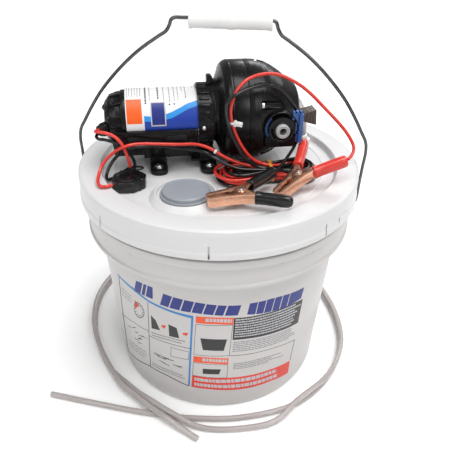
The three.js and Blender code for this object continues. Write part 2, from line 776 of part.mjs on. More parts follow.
const BLACK_TO_HANK = [
  [-121, -41.7, 308.4],
  [-122.7, -45, 307.8],
  [-122.3, -48.2, 306.8],
  [-119, -50.3, 305.8],
  [-113, -50.2, 305.2],
  [-105, -50.6, 303.4],
  [-98, -49.6, 299.6],
  [-93, -46.6, 293],
  [-88.8, -44.6, 286.4],
  [-86, -44, 279],
  [-86.4, -44, 271.4],
  [-91, -44.8, 266.4],
  [-98.4, -49, 265.3],
  [-106.4, -57.6, 265.4],
  [-110, -65, 267.4],
  [-110.4, -66.4, 272],
  [-108.4, -61.6, 279],
  [-104, -55, 286],
  [-96, -51.8, 292.6],
  [-86, -49.4, 297],
  [-70, -43.8, 297.8],
  [-53.7, -39.2, 296.4],
  [-38.4, -37, 294.4],
  [-22.8, -36.6, 293],
  [-10, -38, 291.6],
  [0, -43.4, 288.6],
  [10, -47.4, 284.4],
  [22, -47.6, 280],
  [34, -45, 277.4],
];
// Out of the hank both leads loop up over the head, and come down to their clips.
const RED_LOOP = [
  [62, -31, 277.2],
  [50, -33.4, 279.6],
  [39, -36, 285.6],
  [30.3, -38.6, 296],
  [23.4, -39.2, 308],
  [18.4, -39.2, 320],
  [15.6, -39.6, 331],
  [15.4, -40.2, 341.5],
  [17.8, -38.2, 351.5],
  [22.4, -33.8, 360],
  [29.2, -27, 365.6],
  [37.6, -19.2, 367.8],
  [47.3, -12.6, 368.4],
  [57.3, -8.6, 367.4],
  [67.6, -6.5, 364],
  [82.2, -6.6, 357],
  [95.1, -9, 348.2],
  [109.3, -13.7, 336.3],
  [121.2, -19, 326.6],
  [131.2, -22.6, 317.2],
  [137.6, -26, 309.6],
  [141.4, -30.4, 303.4],
  [141, -36, 300.4],
  [139, -41, 297.8],
  [135.5, -45.4, 295.2],
];
const BLACK_LOOP = [
  [54, -38.4, 277.2],
  [44, -40.6, 279.6],
  [34, -43.4, 286.4],
  [26.4, -44.4, 297],
  [19.6, -44, 310],
  [14.4, -43.6, 322],
  [11.4, -43.8, 333],
  [11.2, -43.8, 343.4],
  [13.6, -43.6, 350.4],
  [19.4, -41.2, 354.6],
  [28, -35.6, 357.8],
  [38.6, -28, 359.6],
  [49.6, -20.8, 359.2],
  [60.6, -15.6, 355.2],
  [69.9, -11.8, 346.3],
  [76.8, -8.6, 337.2],
  [82.3, -6.8, 328.4],
  [84.9, -6.2, 317.3],
  [85.6, -6.6, 306.4],
  [84.6, -9.6, 297.6],
  [80.4, -20, 291.9],
  [75.6, -31, 288.6],
  [70, -42.6, 285],
  [65.6, -50.2, 282.8],
  [62.8, -53.6, 282.1],
];

// The hank is folded flat with round ends, and leans against the pump's front foot.
const HANK = { centre: [53, -33, 269.2], length: 112, width: 46, thick: 10.8, yaw: 14 };

function leadHank() {
  const { centre, length, width, thick, yaw } = HANK;
  const r = width / 2;
  const reach = length / 2 - r;
  const layers = [[thick / 2, r - 3], [thick / 4, r]].flatMap(([half, radius]) => {
    const shape = new THREE.Shape();
    shape.absarc(reach, 0, radius, -Math.PI / 2, Math.PI / 2);
    shape.absarc(-reach, 0, radius, Math.PI / 2, (3 * Math.PI) / 2);
    return raised(shape, -half, half);
  });
  const solid = join(...layers)
    .rotateZ(THREE.MathUtils.degToRad(yaw))
    .translate(...centre);
  return part("lead_hank", solid, RED_VINYL);
}

// The suction tube lies on the floor round the pail: two turns, the second on the first.
const TURN = { x: -8, y: 20, low: SUCTION / 2 + 0.1, high: SUCTION * 1.5 + 0.3 };
const TURN_RADII = [
  [-50, 179.5],
  [-30, 182],
  [-10, 181],
  [12, 176],
  [35, 177],
  [60, 179],
  [90, 180],
  [120, 182],
  [150, 186],
  [170, 180],
  [190, 170],
  [208, 163.5],
  [222, 163],
];

function suctionTube() {
  const turn = (z, spread) =>
    TURN_RADII.map(([degrees, radius]) => {
      const angle = THREE.MathUtils.degToRad(degrees);
      const r = radius + spread;
      return [TURN.x + r * Math.cos(angle), TURN.y + r * Math.sin(angle), z];
    });
  const { low, high } = TURN;
  const start = [[-190.4, -134.4, low], [-127.8, -142.5, low], [-67.7, -148.9, low], [-13.8, -150.2, low], [41, -143.9, low]];
  const over = [
    [-101, -110.5, low],
    [-82, -125, 6],
    [-64, -137, 9.8],
    [-48, -146.4, 10.6],
    [-32, -153.6, 9.6],
    [-14, -159.6, 5.2],
    [6, -162.4, low],
    [42, -158.5, low],
    [82, -146, 5.5],
  ];
  const end = [[-105, -118.4, high], [-85, -131.8, 10], [-66, -144.6, 10.2], [-46, -156, 9.8], [-26, -166, 6.2], [-4.3, -176.6, low]];
  const route = [...start, ...turn(low, 0), ...over, ...turn(high, 1), ...end];
  return part("suction_tube", tube(route, SUCTION, 100), CLEAR_VINYL);
}

root.add(
  part("red_lead_motor", tube(RED_TO_FUSE, LEAD, 12), RED_VINYL),
  part("red_lead_run", tube(RED_TO_HANK, LEAD, 26), RED_VINYL),
  part("black_lead_run", tube(BLACK_TO_HANK, LEAD, 36), BLACK_VINYL),
  part("red_lead_loop", tube(RED_LOOP, LEAD, 36), RED_VINYL),
  part("black_lead_loop", tube(BLACK_LOOP, LEAD, 32), BLACK_VINYL),
  leadHank(),
  suctionTube(),
);

export default root;
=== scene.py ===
import math
import random

import bmesh
import bpy
from mathutils import Matrix, Vector


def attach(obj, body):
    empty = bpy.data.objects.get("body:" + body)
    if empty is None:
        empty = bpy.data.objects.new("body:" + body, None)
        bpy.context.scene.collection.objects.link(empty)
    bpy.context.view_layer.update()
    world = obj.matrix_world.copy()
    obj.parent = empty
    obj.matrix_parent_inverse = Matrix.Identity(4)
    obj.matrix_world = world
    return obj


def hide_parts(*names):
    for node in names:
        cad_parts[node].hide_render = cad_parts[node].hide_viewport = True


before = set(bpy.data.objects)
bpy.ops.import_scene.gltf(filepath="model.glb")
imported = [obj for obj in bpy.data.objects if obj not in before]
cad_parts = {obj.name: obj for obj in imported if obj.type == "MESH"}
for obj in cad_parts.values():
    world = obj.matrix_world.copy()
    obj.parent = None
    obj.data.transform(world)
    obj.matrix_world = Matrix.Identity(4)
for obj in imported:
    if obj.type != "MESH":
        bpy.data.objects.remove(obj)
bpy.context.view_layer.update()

MM = 0.001
rng = random.Random(7)

# ---------------------------------------------------------------- camera
EYE = Vector((0.051225, -0.513150, 0.510570))
RIGHT = Vector((0.995593, 0.092821, 0.013334))
UP = Vector((-0.061535, 0.539378, 0.839812))
FORWARD = Vector((-0.070760, 0.836932, -0.542713))


def make_camera():
    data = bpy.data.cameras.new("camera")
    data.sensor_fit = "HORIZONTAL"
    data.sensor_width = 36
    data.lens = 39.82
    data.clip_start = 0.01
    obj = bpy.data.objects.new("camera", data)
    bpy.context.scene.collection.objects.link(obj)
    turn = Matrix((RIGHT, UP, -FORWARD)).transposed().to_4x4()
    obj.matrix_world = Matrix.Translation(EYE) @ turn
    bpy.context.scene.camera = obj


make_camera()


# ---------------------------------------------------------------- materials
def node_material(name):
    mat = bpy.data.materials.new(name)
    mat.use_nodes = True
    tree = mat.node_tree
    shader = tree.nodes["Principled BSDF"]
    coords = tree.nodes.new("ShaderNodeTexCoord")
    return mat, tree, shader, coords.outputs["Object"]


def noise(tree, coords, scale, detail=3.0, distortion=0.0, squash=None):
    source = coords
    if squash:
        mapping = tree.nodes.new("ShaderNodeMapping")
        mapping.inputs["Scale"].default_value = squash
        tree.links.new(coords, mapping.inputs["Vector"])
        source = mapping.outputs["Vector"]
    tex = tree.nodes.new("ShaderNodeTexNoise")
    tex.inputs["Scale"].default_value = scale
    tex.inputs["Detail"].default_value = detail
    tex.inputs["Distortion"].default_value = distortion
    tree.links.new(source, tex.inputs["Vector"])
    return tex.outputs["Fac"]


def spread(tree, value, low, high, start=0.3, stop=0.7):
    node = tree.nodes.new("ShaderNodeMapRange")
    node.inputs["From Min"].default_value = start
    node.inputs["From Max"].default_value = stop
    node.inputs["To Min"].default_value = low
    node.inputs["To Max"].default_value = high
    tree.links.new(value, node.inputs["Value"])
    return node.outputs["Result"]


def blend_colors(tree, value, first, second):
    node = tree.nodes.new("ShaderNodeMix")
    node.data_type = "RGBA"
    for socket, color in ((node.inputs[6], first), (node.inputs[7], second)):
        if isinstance(color, bpy.types.NodeSocket):
            tree.links.new(color, socket)
        else:
            socket.default_value = (*color, 1)
    tree.links.new(value, node.inputs[0])
    return node.outputs[2]


def add_bump(tree, shader, height, depth, strength=0.6):
    node = tree.nodes.new("ShaderNodeBump")
    node.inputs["Strength"].default_value = strength
    node.inputs["Distance"].default_value = depth
    tree.links.new(height, node.inputs["Height"])
    tree.links.new(node.outputs["Normal"], shader.inputs["Normal"])
    return node


def surface(name, color, rough, metallic=0.0, tint=0.08, patch=35, grain=1800, depth=0.00003, wear_and_highlight=None,
            smudge=0.07, squash=None, sockets=None):
    """A finish with patches of tone, smudged gloss, a fine grain and, where it has one, a lighter edge tone:
    worn edges on the blue and brown plastics, a painted highlight on the copper.
    """
    mat, tree, shader, coords = node_material(name)
    darker = tuple(c * (1 - tint) for c in color)
    lighter = tuple(min(1.0, c * (1 + tint) + tint * 0.02) for c in color)
    tone = blend_colors(tree, spread(tree, noise(tree, coords, patch, 4), 0, 1), darker, lighter)
    # The lighter edge tone follows convex edges (pointiness): real wear on some finishes, a painted
    # highlight on the copper.
    if wear_and_highlight:
        edge = tree.nodes.new("ShaderNodeNewGeometry").outputs["Pointiness"]
        tone = blend_colors(tree, spread(tree, edge, 0, 1, 0.52, 0.62), tone, wear_and_highlight)
    tree.links.new(tone, shader.inputs["Base Color"])
    smears = noise(tree, coords, patch * 2.3, 5, 0.4)
    gloss = spread(tree, smears, max(0.02, rough - smudge), rough + smudge)
    tree.links.new(gloss, shader.inputs["Roughness"])
    shader.inputs["Metallic"].default_value = metallic
    add_bump(tree, shader, noise(tree, coords, grain, 2, 0, squash), depth)
    for key, value in (sockets or {}).items():
        shader.inputs[key].default_value = value
    return mat


SOFT_GLOW = {"Subsurface Weight": 0.12, "Subsurface Radius": (1.0, 0.95, 0.9), "Subsurface Scale": 0.004}
LOOKS = {
    # The pail and the lid are one white plastic; the pail is coloured darker than the lid, painted shade of
    # its upright walls against the lid's lit top.
    "pail_white": surface("pail_hdpe", (0.56, 0.545, 0.535), 0.36, tint=0.02, patch=9, grain=260,
                          depth=0.00012, smudge=0.06),
    "lid_white": surface("lid_hdpe", (0.68, 0.675, 0.68), 0.34, tint=0.015, patch=11, grain=300,
                         depth=0.00010, smudge=0.06),
    "grey_cap": surface("grey_hdpe", (0.30, 0.32, 0.355), 0.40, tint=0.05, patch=40, grain=900,
                        depth=0.00004),
    "zinc_wire": surface("zinc_plate", (0.12, 0.12, 0.122), 0.26, 1.0, tint=0.16, patch=160, grain=2600,
                         depth=0.00005, smudge=0.1),
    "white_nylon": surface("white_nylon", (0.80, 0.80, 0.79), 0.38, tint=0.03, patch=50, grain=900,
                           depth=0.00004, sockets=SOFT_GLOW),
    "black_nylon": surface("black_nylon", (0.003, 0.003, 0.0035), 0.26, tint=0.3, patch=60, grain=1500,
                           depth=0.00004, smudge=0.07, sockets={"Specular IOR Level": 0.24}),
    "black_rubber": surface("black_rubber", (0.006, 0.006, 0.006), 0.40, tint=0.25, patch=70, grain=2200,
                            depth=0.00006, smudge=0.1, sockets={"Specular IOR Level": 0.3}),
    "motor_label": surface("paper_label", (0.80, 0.79, 0.80), 0.42, tint=0.02, patch=60, grain=2600,
                           depth=0.00002),
    "copper_winding": surface("winding_wire", (0.62, 0.21, 0.08), 0.32, 1.0, tint=0.3, patch=120,
                              grain=1400,
                              depth=0.00025, squash=(3, 0.4, 3)),
    "ferrite": surface("ferrite", (0.05, 0.05, 0.052), 0.62, tint=0.2, patch=90, grain=2500, depth=0.00012),
    "steel": surface("bright_steel", (0.60, 0.61, 0.63), 0.25, 1.0, tint=0.1, patch=120, grain=2400,
                     depth=0.00004, smudge=0.1, squash=(1, 6, 6)),
    "grey_acetal": surface("grey_acetal", (0.47, 0.47, 0.46), 0.36, tint=0.06, patch=60, grain=1600,
                           depth=0.00004),
    "blue_nylon": surface("blue_nylon", (0.012, 0.075, 0.27), 0.33, tint=0.14, patch=60, grain=1500,
                          depth=0.00004, wear_and_highlight=(0.03, 0.10, 0.34)),
    "brown_phenolic": surface("brown_phenolic", (0.040, 0.030, 0.024), 0.46, tint=0.3, patch=110,
                              grain=1900,
                              depth=0.00009, wear_and_highlight=(0.16, 0.13, 0.11)),
    # Its lighter edge tone is a painted highlight, the bright copper glint laid on the convex edges.
    "copper_plate": surface("copper_plate", (0.84, 0.44, 0.28), 0.27, 1.0, tint=0.08, patch=45, grain=900,
                            depth=0.00002, smudge=0.05, wear_and_highlight=(0.98, 0.70, 0.54), squash=(1, 1, 3)),
    "red_vinyl": surface("red_pvc", (0.68, 0.040, 0.026), 0.22, tint=0.08, patch=60, grain=900,
                         depth=0.00003, smudge=0.07, sockets={"Subsurface Weight": 0.06,
                                                              "Subsurface Scale": 0.001}),
    "black_vinyl": surface("black_pvc", (0.005, 0.005, 0.006), 0.17, tint=0.3, patch=60, grain=900,
                           depth=0.00003, smudge=0.07),
    "clear_vinyl": surface("clear_pvc", (0.60, 0.555, 0.545), 0.14, tint=0.04, patch=30, grain=500,
                           depth=0.00002, smudge=0.04, sockets={"Transmission Weight": 0.45, "IOR": 1.46}),
    "blue_fuse": surface("fuse_blue", (0.03, 0.14, 0.62), 0.2, tint=0.1, patch=120, grain=1700,
                         depth=0.00003),
}

# ---------------------------------------------------------------- curves
def catmull_rom(points, steps=6):
    """Centripetal Catmull-Rom through the points, with the given steps in each span."""
    pts = [Vector(p) for p in points]
    ends = [pts[0] + (pts[0] - pts[1])] + pts + [pts[-1] + (pts[-1] - pts[-2])]
    out = []
    for i in range(len(pts) - 1):
        p0, p1, p2, p3 = ends[i : i + 4]
        knots = [0.0]
        for a, b in ((p0, p1), (p1, p2), (p2, p3)):
            knots.append(knots[-1] + max(1e-9, (b - a).length ** 0.5))
        t0, t1, t2, t3 = knots
        for k in range(steps):
            t = t1 + (t2 - t1) * k / steps
            a1 = p0 * ((t1 - t) / (t1 - t0)) + p1 * ((t - t0) / (t1 - t0))
            a2 = p1 * ((t2 - t) / (t2 - t1)) + p2 * ((t - t1) / (t2 - t1))
            a3 = p2 * ((t3 - t) / (t3 - t2)) + p3 * ((t - t2) / (t3 - t2))
            b1 = a1 * ((t2 - t) / (t2 - t0)) + a2 * ((t - t0) / (t2 - t0))
            b2 = a2 * ((t3 - t) / (t3 - t1)) + a3 * ((t - t1) / (t3 - t1))
            out.append(b1 * ((t2 - t) / (t2 - t1)) + b2 * ((t - t1) / (t2 - t1)))
    out.append(pts[-1])
    return out


def cord_curve(name, points, diameter, look):
    data = bpy.data.curves.new(name, "CURVE")
    data.dimensions = "3D"
    data.bevel_depth = diameter / 2
    data.bevel_resolution = 4
    data.use_fill_caps = True
    spline = data.splines.new("POLY")
    spline.points.add(len(points) - 1)
    for slot, point in zip(spline.points, points):
        slot.co = (*point, 1)
    spline.use_smooth = True
    data.materials.append(LOOKS[look])
    obj = bpy.data.objects.new(name, data)
    bpy.context.scene.collection.objects.link(obj)
    return obj


# ---------------------------------------------------------------- cords, routes in millimetres
LEAD = 3.4 * MM
SUCTION = 6.4 * MM
RED_TO_FUSE = [
    (-121, -41.7, 312.2), (-122.7, -45, 312.4), (-122.5, -48.6, 313), (-119.4, -51.6, 313.9),
    (-113, -52.4, 314), (-104, -52, 311.2), (-97, -53, 306), (-92.6, -54.4, 299.6), (-90, -55.2, 292),
    (-88.4, -55, 284.6), (-87.6, -55, 278.6),
]
RED_TO_HANK = [
    (-98.8, -85, 272.6), (-103.4, -89.4, 272.6), (-109, -90, 272.8), (-113.6, -84, 274),
    (-115.6, -73, 277.4), (-114, -64, 283.4), (-108, -59.6, 290.6), (-100, -58.2, 297),
    (-92, -58.4, 301.6), (-84, -55, 303.4), (-74, -49.4, 302.6), (-58.6, -43.4, 300.6),
    (-38.4, -38.8, 299.2), (-22.7, -36.6, 299.4), (-11, -38.2, 298.2), (-1, -41, 295),
    (10, -42.6, 289.4), (24, -41, 283), (36, -38.6, 278.8),
]
RED_LOOP = [
    (62, -31, 277.2), (50, -33.4, 279.6), (39, -36, 285.6), (30.3, -38.6, 296), (23.4, -39.2, 308),
    (18.4, -39.2, 320), (15.6, -39.6, 331), (15.4, -40.2, 341.5), (17.8, -38.2, 351.5),
    (22.4, -33.8, 360), (29.2, -27, 365.6), (37.6, -19.2, 367.8), (47.3, -12.6, 368.4),
    (57.3, -8.6, 367.4), (67.6, -6.5, 364), (82.2, -6.6, 357), (95.1, -9, 348.2), (109.3, -13.7, 336.3),
    (121.2, -19, 326.6), (131.2, -22.6, 317.2), (137.6, -26, 309.6), (141.4, -30.4, 303.4),
    (141, -36, 300.4), (139, -41, 297.8), (135.5, -45.4, 295.2),
]
BLACK_TO_HANK = [
    (-121, -41.7, 308.4), (-122.7, -45, 307.8), (-122.3, -48.2, 306.8), (-119, -50.3, 305.8),
    (-113, -50.2, 305.2), (-105, -50.6, 303.4), (-98, -49.6, 299.6), (-93, -46.6, 293),
    (-88.8, -44.6, 286.4), (-86, -44, 279), (-86.4, -44, 271.4), (-91, -44.8, 266.4),
    (-98.4, -49, 265.3), (-106.4, -57.6, 265.4), (-110, -65, 267.4), (-110.4, -66.4, 272),
    (-108.4, -61.6, 279), (-104, -55, 286), (-96, -51.8, 292.6), (-86, -49.4, 297), (-70, -43.8, 297.8),
    (-53.7, -39.2, 296.4), (-38.4, -37, 294.4), (-22.8, -36.6, 293), (-10, -38, 291.6),
    (0, -43.4, 288.6), (10, -47.4, 284.4), (22, -47.6, 280), (34, -45, 277.4),
]
BLACK_LOOP = [
    (54, -38.4, 277.2), (44, -40.6, 279.6), (34, -43.4, 286.4), (26.4, -44.4, 297), (19.6, -44, 310),
    (14.4, -43.6, 322), (11.4, -43.8, 333), (11.2, -43.8, 343.4), (13.6, -43.6, 350.4),
    (19.4, -41.2, 354.6), (28, -35.6, 357.8), (38.6, -28, 359.6), (49.6, -20.8, 359.2),
    (60.6, -15.6, 355.2), (69.9, -11.8, 346.3), (76.8, -8.6, 337.2), (82.3, -6.8, 328.4),
    (84.9, -6.2, 317.3), (85.6, -6.6, 306.4), (84.6, -9.6, 297.6), (80.4, -20, 291.9),
    (75.6, -31, 288.6), (70, -42.6, 285), (65.6, -50.2, 282.8), (62.8, -53.6, 282.1),
]
TURN_CENTRE = (-8, 20)  # the tube lies in two turns on the floor, the second over the first
TUBE_LOW = 3.3
TUBE_HIGH = 9.9
TURN_RADII = [  # degrees round the centre and distance from it
    (-50, 179.5), (-30, 182), (-10, 181), (12, 176), (35, 177), (60, 179), (90, 180), (120, 182),
    (150, 186), (170, 180), (190, 170), (208, 163.5), (222, 163),
]


def tube_turn(z, spread):
    x, y = TURN_CENTRE
    turns = [(math.radians(degrees), radius + spread) for degrees, radius in TURN_RADII]
    return [(round(x + r * math.cos(a), 1), round(y + r * math.sin(a), 1), z) for a, r in turns]


SUCTION_ROUTE = [
    (-190.4, -134.4, TUBE_LOW), (-127.8, -142.5, TUBE_LOW), (-67.7, -148.9, TUBE_LOW),
    (-13.8, -150.2, TUBE_LOW), (41, -143.9, TUBE_LOW),
    *tube_turn(TUBE_LOW, 0),
    (-101, -110.5, TUBE_LOW), (-82, -125, 6), (-64, -137, 9.8), (-48, -146.4, 10.6), (-32, -153.6, 9.6),
    (-14, -159.6, 5.2), (6, -162.4, TUBE_LOW), (42, -158.5, TUBE_LOW), (82, -146, 5.5),
    *tube_turn(TUBE_HIGH, 1),
    (-105, -118.4, TUBE_HIGH), (-85, -131.8, 10), (-66, -144.6, 10.2), (-46, -156, 9.8),
    (-26, -166, 6.2), (-4.3, -176.6, TUBE_LOW),
]

# ---------------------------------------------------------------- the hank, in metres
HANK_CENTRE = Vector((0.053, -0.033, 0.2692))
HANK_YAW = math.radians(14)
HANK_REACH = 0.033
HANK_OUTER = 0.0212
PITCH = 0.0035  # spacing of neighbouring turns
TIE_X = 0.0045  # where the twist tie gathers the hank
PINCH = 0.0078  # how far the tie pulls each side of the hank in
PINCH_SPAN = 0.019


def hank_point(share, radius, height, pull=0.0):
    """A point of a flat racetrack turn: share runs from 0 in the middle of the front run, to the right."""
    reach = HANK_REACH
    straight, arc = 2 * reach, math.pi * radius
    s = (share % 1.0) * 2 * (straight + arc)
    if s < reach:
        x, y = s, -radius
    elif s < reach + arc:
        a = (s - reach) / radius - math.pi / 2
        x, y = reach + radius * math.cos(a), radius * math.sin(a)
    elif s < reach + arc + straight:
        x, y = reach - (s - reach - arc), radius
    elif s < reach + 2 * arc + straight:
        a = (s - reach - arc - straight) / radius + math.pi / 2
        x, y = -reach + radius * math.cos(a), radius * math.sin(a)
    else:
        x, y = s - 2 * (straight + arc), -radius
    if x < 0:
        x *= 1 - pull
    gather = PINCH * math.exp(-(((x - TIE_X) / PINCH_SPAN) ** 2))
    y -= math.copysign(min(gather, abs(y)), y)
    spot = Matrix.Rotation(HANK_YAW, 3, "Z") @ Vector((x, y, 0))
    return HANK_CENTRE + spot + Vector((0, 0, height))


def hank_turns(slots, first, last):
    """Turns of a lead through its places in the hank's section."""
    points = []
    steps = 20
    total = len(slots) - 1 + last
    count = int(round((total - first) * steps))
    for k in range(count + 1):
        t = first + (total - first) * k / count
        turn = min(int(t), len(slots) - 1)
        within = t - turn
        here, after = slots[turn], slots[min(turn + 1, len(slots) - 1)]
        move = min(1.0, max(0.0, (within - 0.30) / 0.30))
        move = move * move * (3 - 2 * move)
        column = here[0] + (after[0] - here[0]) * move
        layer = here[1] + (after[1] - here[1]) * move
        pull = here[2] + (after[2] - here[2]) * move
        points.append(hank_point(t, HANK_OUTER - PITCH * column, PITCH * layer, pull))
    return points


# The places of a lead's turns in the hank: column from outside, layer, how far the left end is drawn in.
RED_SLOTS = [(1, 1, 0.02), (0, 1, 0), (0, 0, 0.1), (1, -1, 0.03), (2, -1, 0.12), (2, 0, 0.2), (2, 1, 0.06)]
BLACK_SLOTS = [(2, 2, 0.1), (1, 2, 0.16), (1, 0, 0), (0, -1, 0.05), (3, -1, 0.06), (3, 0, 0.1),
               (3, 1, 0.24)]


def in_metres(points):
    return [Vector(point) * MM for point in points]


def make_cords():
    red_hank = hank_turns(RED_SLOTS, 0.1, 0.36)
    black_hank = hank_turns(BLACK_SLOTS, 0.1, 0.34)
    red_path = catmull_rom(in_metres(RED_TO_HANK) + red_hank + in_metres(RED_LOOP), 5)
    black_path = catmull_rom(in_metres(BLACK_TO_HANK) + black_hank + in_metres(BLACK_LOOP), 5)
    first_path = catmull_rom(in_metres(RED_TO_FUSE), 6)
    tube_path = catmull_rom(in_metres(SUCTION_ROUTE), 5)
    made = {}
    for name, path, size, look, body in (
        ("red_lead_to_fuse", first_path, LEAD, "red_vinyl", "lid"),
        ("red_lead", red_path, LEAD, "red_vinyl", "lid"),
        ("black_lead", black_path, LEAD, "black_vinyl", "lid"),
        ("suction_line", tube_path, SUCTION, "clear_vinyl", "pail"),
    ):
        obj = cord_curve(name, path, size, look)
        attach(obj, body)
        made[name] = (obj, path)
    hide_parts("red_lead_motor")
    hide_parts("red_lead_run", "red_lead_loop", "lead_hank")
    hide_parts("black_lead_run", "black_lead_loop")
    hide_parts("suction_tube")
    return made


CORDS = make_cords()


# ---------------------------------------------------------------- solids, all in millimetres
def mesh_from(verts, faces):
    mesh = bpy.data.meshes.new("solid")
    mesh.from_pydata([tuple(v) for v in verts], [], faces)
    mesh.update()
    return mesh


def filleted(points, radius, closed, steps=4):
    """Corners of a 2-D outline rounded. A point may carry its own fillet radius as a third number."""
    out = []
    count = len(points)
    for i, point in enumerate(points):
        here = Vector(point[:2])
        r = point[2] if len(point) > 2 else radius
        if r <= 0 or (not closed and i in (0, count - 1)):
            out.append(here)
            continue
        before = Vector(points[i - 1][:2]) - here
        after = Vector(points[(i + 1) % count][:2]) - here
        if before.length < 1e-6 or after.length < 1e-6:
            out.append(here)
            continue
        a, b = before.normalized(), after.normalized()
        half = a.angle(b) / 2
        if half > math.radians(88):
            out.append(here)
            continue
        reach = min(r / math.tan(half), 0.46 * before.length, 0.46 * after.length)
        start, stop = here + a * reach, here + b * reach
        for k in range(steps + 1):
            t = k / steps
            out.append(start * (1 - t) ** 2 + here * 2 * t * (1 - t) + stop * t * t)
    return out


def lathe(points, segments=96, radius=0.6, steps=3):
    """A closed outline of (radius, height) points turned about Z; it may begin and end on the axis."""
    on_axis = points[0][0] == 0 and points[-1][0] == 0
    ring = filleted(points, radius, not on_axis, steps)
    verts, rows = [], []
    for r, z in ring:
        if r < 1e-7:
            rows.append([len(verts)] * segments)
            verts.append((0, 0, z))
        else:
            rows.append([len(verts) + k for k in range(segments)])
            verts += [(r * math.cos(2 * math.pi * k / segments),
                       r * math.sin(2 * math.pi * k / segments), z)
                      for k in range(segments)]
    faces = []
    pairs = list(zip(rows, rows[1:])) + ([] if on_axis else [(rows[-1], rows[0])])
    for low, high in pairs:
        for k in range(segments):
            n = (k + 1) % segments
            face = [low[k], low[n], high[n], high[k]]
            face = [v for j, v in enumerate(face) if v != face[j - 1]]
            if len(face) > 2:
                faces.append(face)
    return outward(mesh_from(verts, faces))


def outward(mesh):
    bm = bmesh.new()
    bm.from_mesh(mesh)
    bmesh.ops.recalc_face_normals(bm, faces=bm.faces)
    bm.to_mesh(mesh)
    bm.free()
    return mesh


def prism(points, low, high, radius=0.0, steps=4):
    ring = filleted(points, radius, True, steps)
    n = len(ring)
    verts = [(x, y, low) for x, y in ring] + [(x, y, high) for x, y in ring]
    faces = [list(range(n))[::-1], list(range(n, 2 * n))]
    faces += [[k, (k + 1) % n, n + (k + 1) % n, n + k] for k in range(n)]
    return outward(mesh_from(verts, faces))


def box(x, y, z):
    return prism([(x[0], y[0]), (x[1], y[0]), (x[1], y[1]), (x[0], y[1])], z[0], z[1])


def cylinder(radius, low, high, segments=48, edge=0.4):
    return lathe([(0, low), (radius, low, edge), (radius, high, edge), (0, high)], segments)


def moved(mesh, *matrices):
    for matrix in matrices:
        mesh.transform(matrix)
    return mesh


def shift(x=0, y=0, z=0):
    return Matrix.Translation((x, y, z))


def turn(degrees, axis):
    return Matrix.Rotation(math.radians(degrees), 4, axis)


def mirror_y(mesh):
    mesh.transform(Matrix.Scale(-1, 4, (0, 1, 0)))
    mesh.flip_normals()
    return mesh


ALONG = turn(90, "Y")  # sets a piece made upright along X


def applied(mesh, add_modifiers):
    obj = bpy.data.objects.new("work", mesh)
    bpy.context.scene.collection.objects.link(obj)
    extra = add_modifiers(obj) or []
    bpy.context.view_layer.update()
    graph = bpy.context.evaluated_depsgraph_get()
    done = bpy.data.meshes.new_from_object(obj.evaluated_get(graph))
    for o in [obj, *extra]:
        bpy.data.objects.remove(o)
    return done


def boolean(mesh, tools, operation):
    def add(obj):
        extra = []
        for tool in tools:
            other = bpy.data.objects.new("tool", tool)
            bpy.context.scene.collection.objects.link(other)
            other.hide_render = True
            mod = obj.modifiers.new("boolean", "BOOLEAN")
            mod.operation = operation
            mod.solver = "EXACT"
            mod.object = other
            extra.append(other)
        return extra

    return applied(mesh, add)


def cut(mesh, *tools):
    return boolean(mesh, tools, "DIFFERENCE")


def fused(mesh, *tools):
    return boolean(mesh, tools, "UNION")


def bevelled(mesh, width, segments=2, angle=32):
    def add(obj):
        mod = obj.modifiers.new("bevel", "BEVEL")
        mod.width = width
        mod.segments = segments
        mod.limit_method = "ANGLE"
        mod.angle_limit = math.radians(angle)
        mod.miter_outer = "MITER_ARC"

    return applied(mesh, add)


def joined(*meshes):
    bm = bmesh.new()
    for mesh in meshes:
        bm.from_mesh(mesh)
    out = bpy.data.meshes.new("joined")
    bm.to_mesh(out)
    bm.free()
    return out


def pipe(points, radius, sides=16, bore=0.0, flat=1.0):
    """A tube along points, with parallel frames and flat closed ends."""
    pts = [Vector(p) for p in points]
    tangents = [(pts[min(i + 1, len(pts) - 1)] - pts[max(i - 1, 0)]).normalized() for i in range(len(pts))]
    side = tangents[0].orthogonal().normalized()
    loops, verts, faces = [], [], []
    for point, tangent in zip(pts, tangents):
        side = (side - tangent * side.dot(tangent)).normalized()
        up = tangent.cross(side)
        for r in (radius, bore) if bore else (radius,):
            start = len(verts)
            for k in range(sides):
                a = 2 * math.pi * k / sides
                verts.append(point + side * (r * math.cos(a)) + up * (r * flat * math.sin(a)))
            loops.append(start)
    step = 2 if bore else 1
    for i in range(0, len(loops) - step, step):
        for j in range(step):
            a, b = loops[i + j], loops[i + j + step]
            for k in range(sides):
                n = (k + 1) % sides
                faces.append([a + k, a + n, b + n, b + k])
    ends = [(loops[0], loops[1]), (loops[-2], loops[-1])] if bore else []
    for outer, inner in ends:
        faces += [[outer + k, outer + (k + 1) % sides, inner + (k + 1) % sides, inner + k]
                  for k in range(sides)]
    if not bore:
        faces += [list(range(loops[0], loops[0] + sides)), list(range(loops[-1], loops[-1] + sides))]
    return outward(mesh_from(verts, faces))


def piece(name, mesh, look, body, nodes=(), place=None, angle=34):
    """One shown piece: its mesh is made in millimetres and set down in the row frame in metres."""
    if place is not None:
        mesh.transform(place)
    mesh.transform(Matrix.Scale(MM, 4))
    mesh.name = name
    mesh.materials.clear()
    mesh.materials.append(LOOKS[look])
    mesh.shade_smooth()
    mesh.set_sharp_from_angle(angle=math.radians(angle))
    obj = bpy.data.objects.new(name, mesh)
    bpy.context.scene.collection.objects.link(obj)
    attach(obj, body)
    if nodes:
        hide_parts(*nodes)
    return obj


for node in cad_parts.values():
    mesh = node.data
    found = mesh.materials[0].name.split(".")[0]
    mesh.materials.clear()
    mesh.materials.append(LOOKS[found])


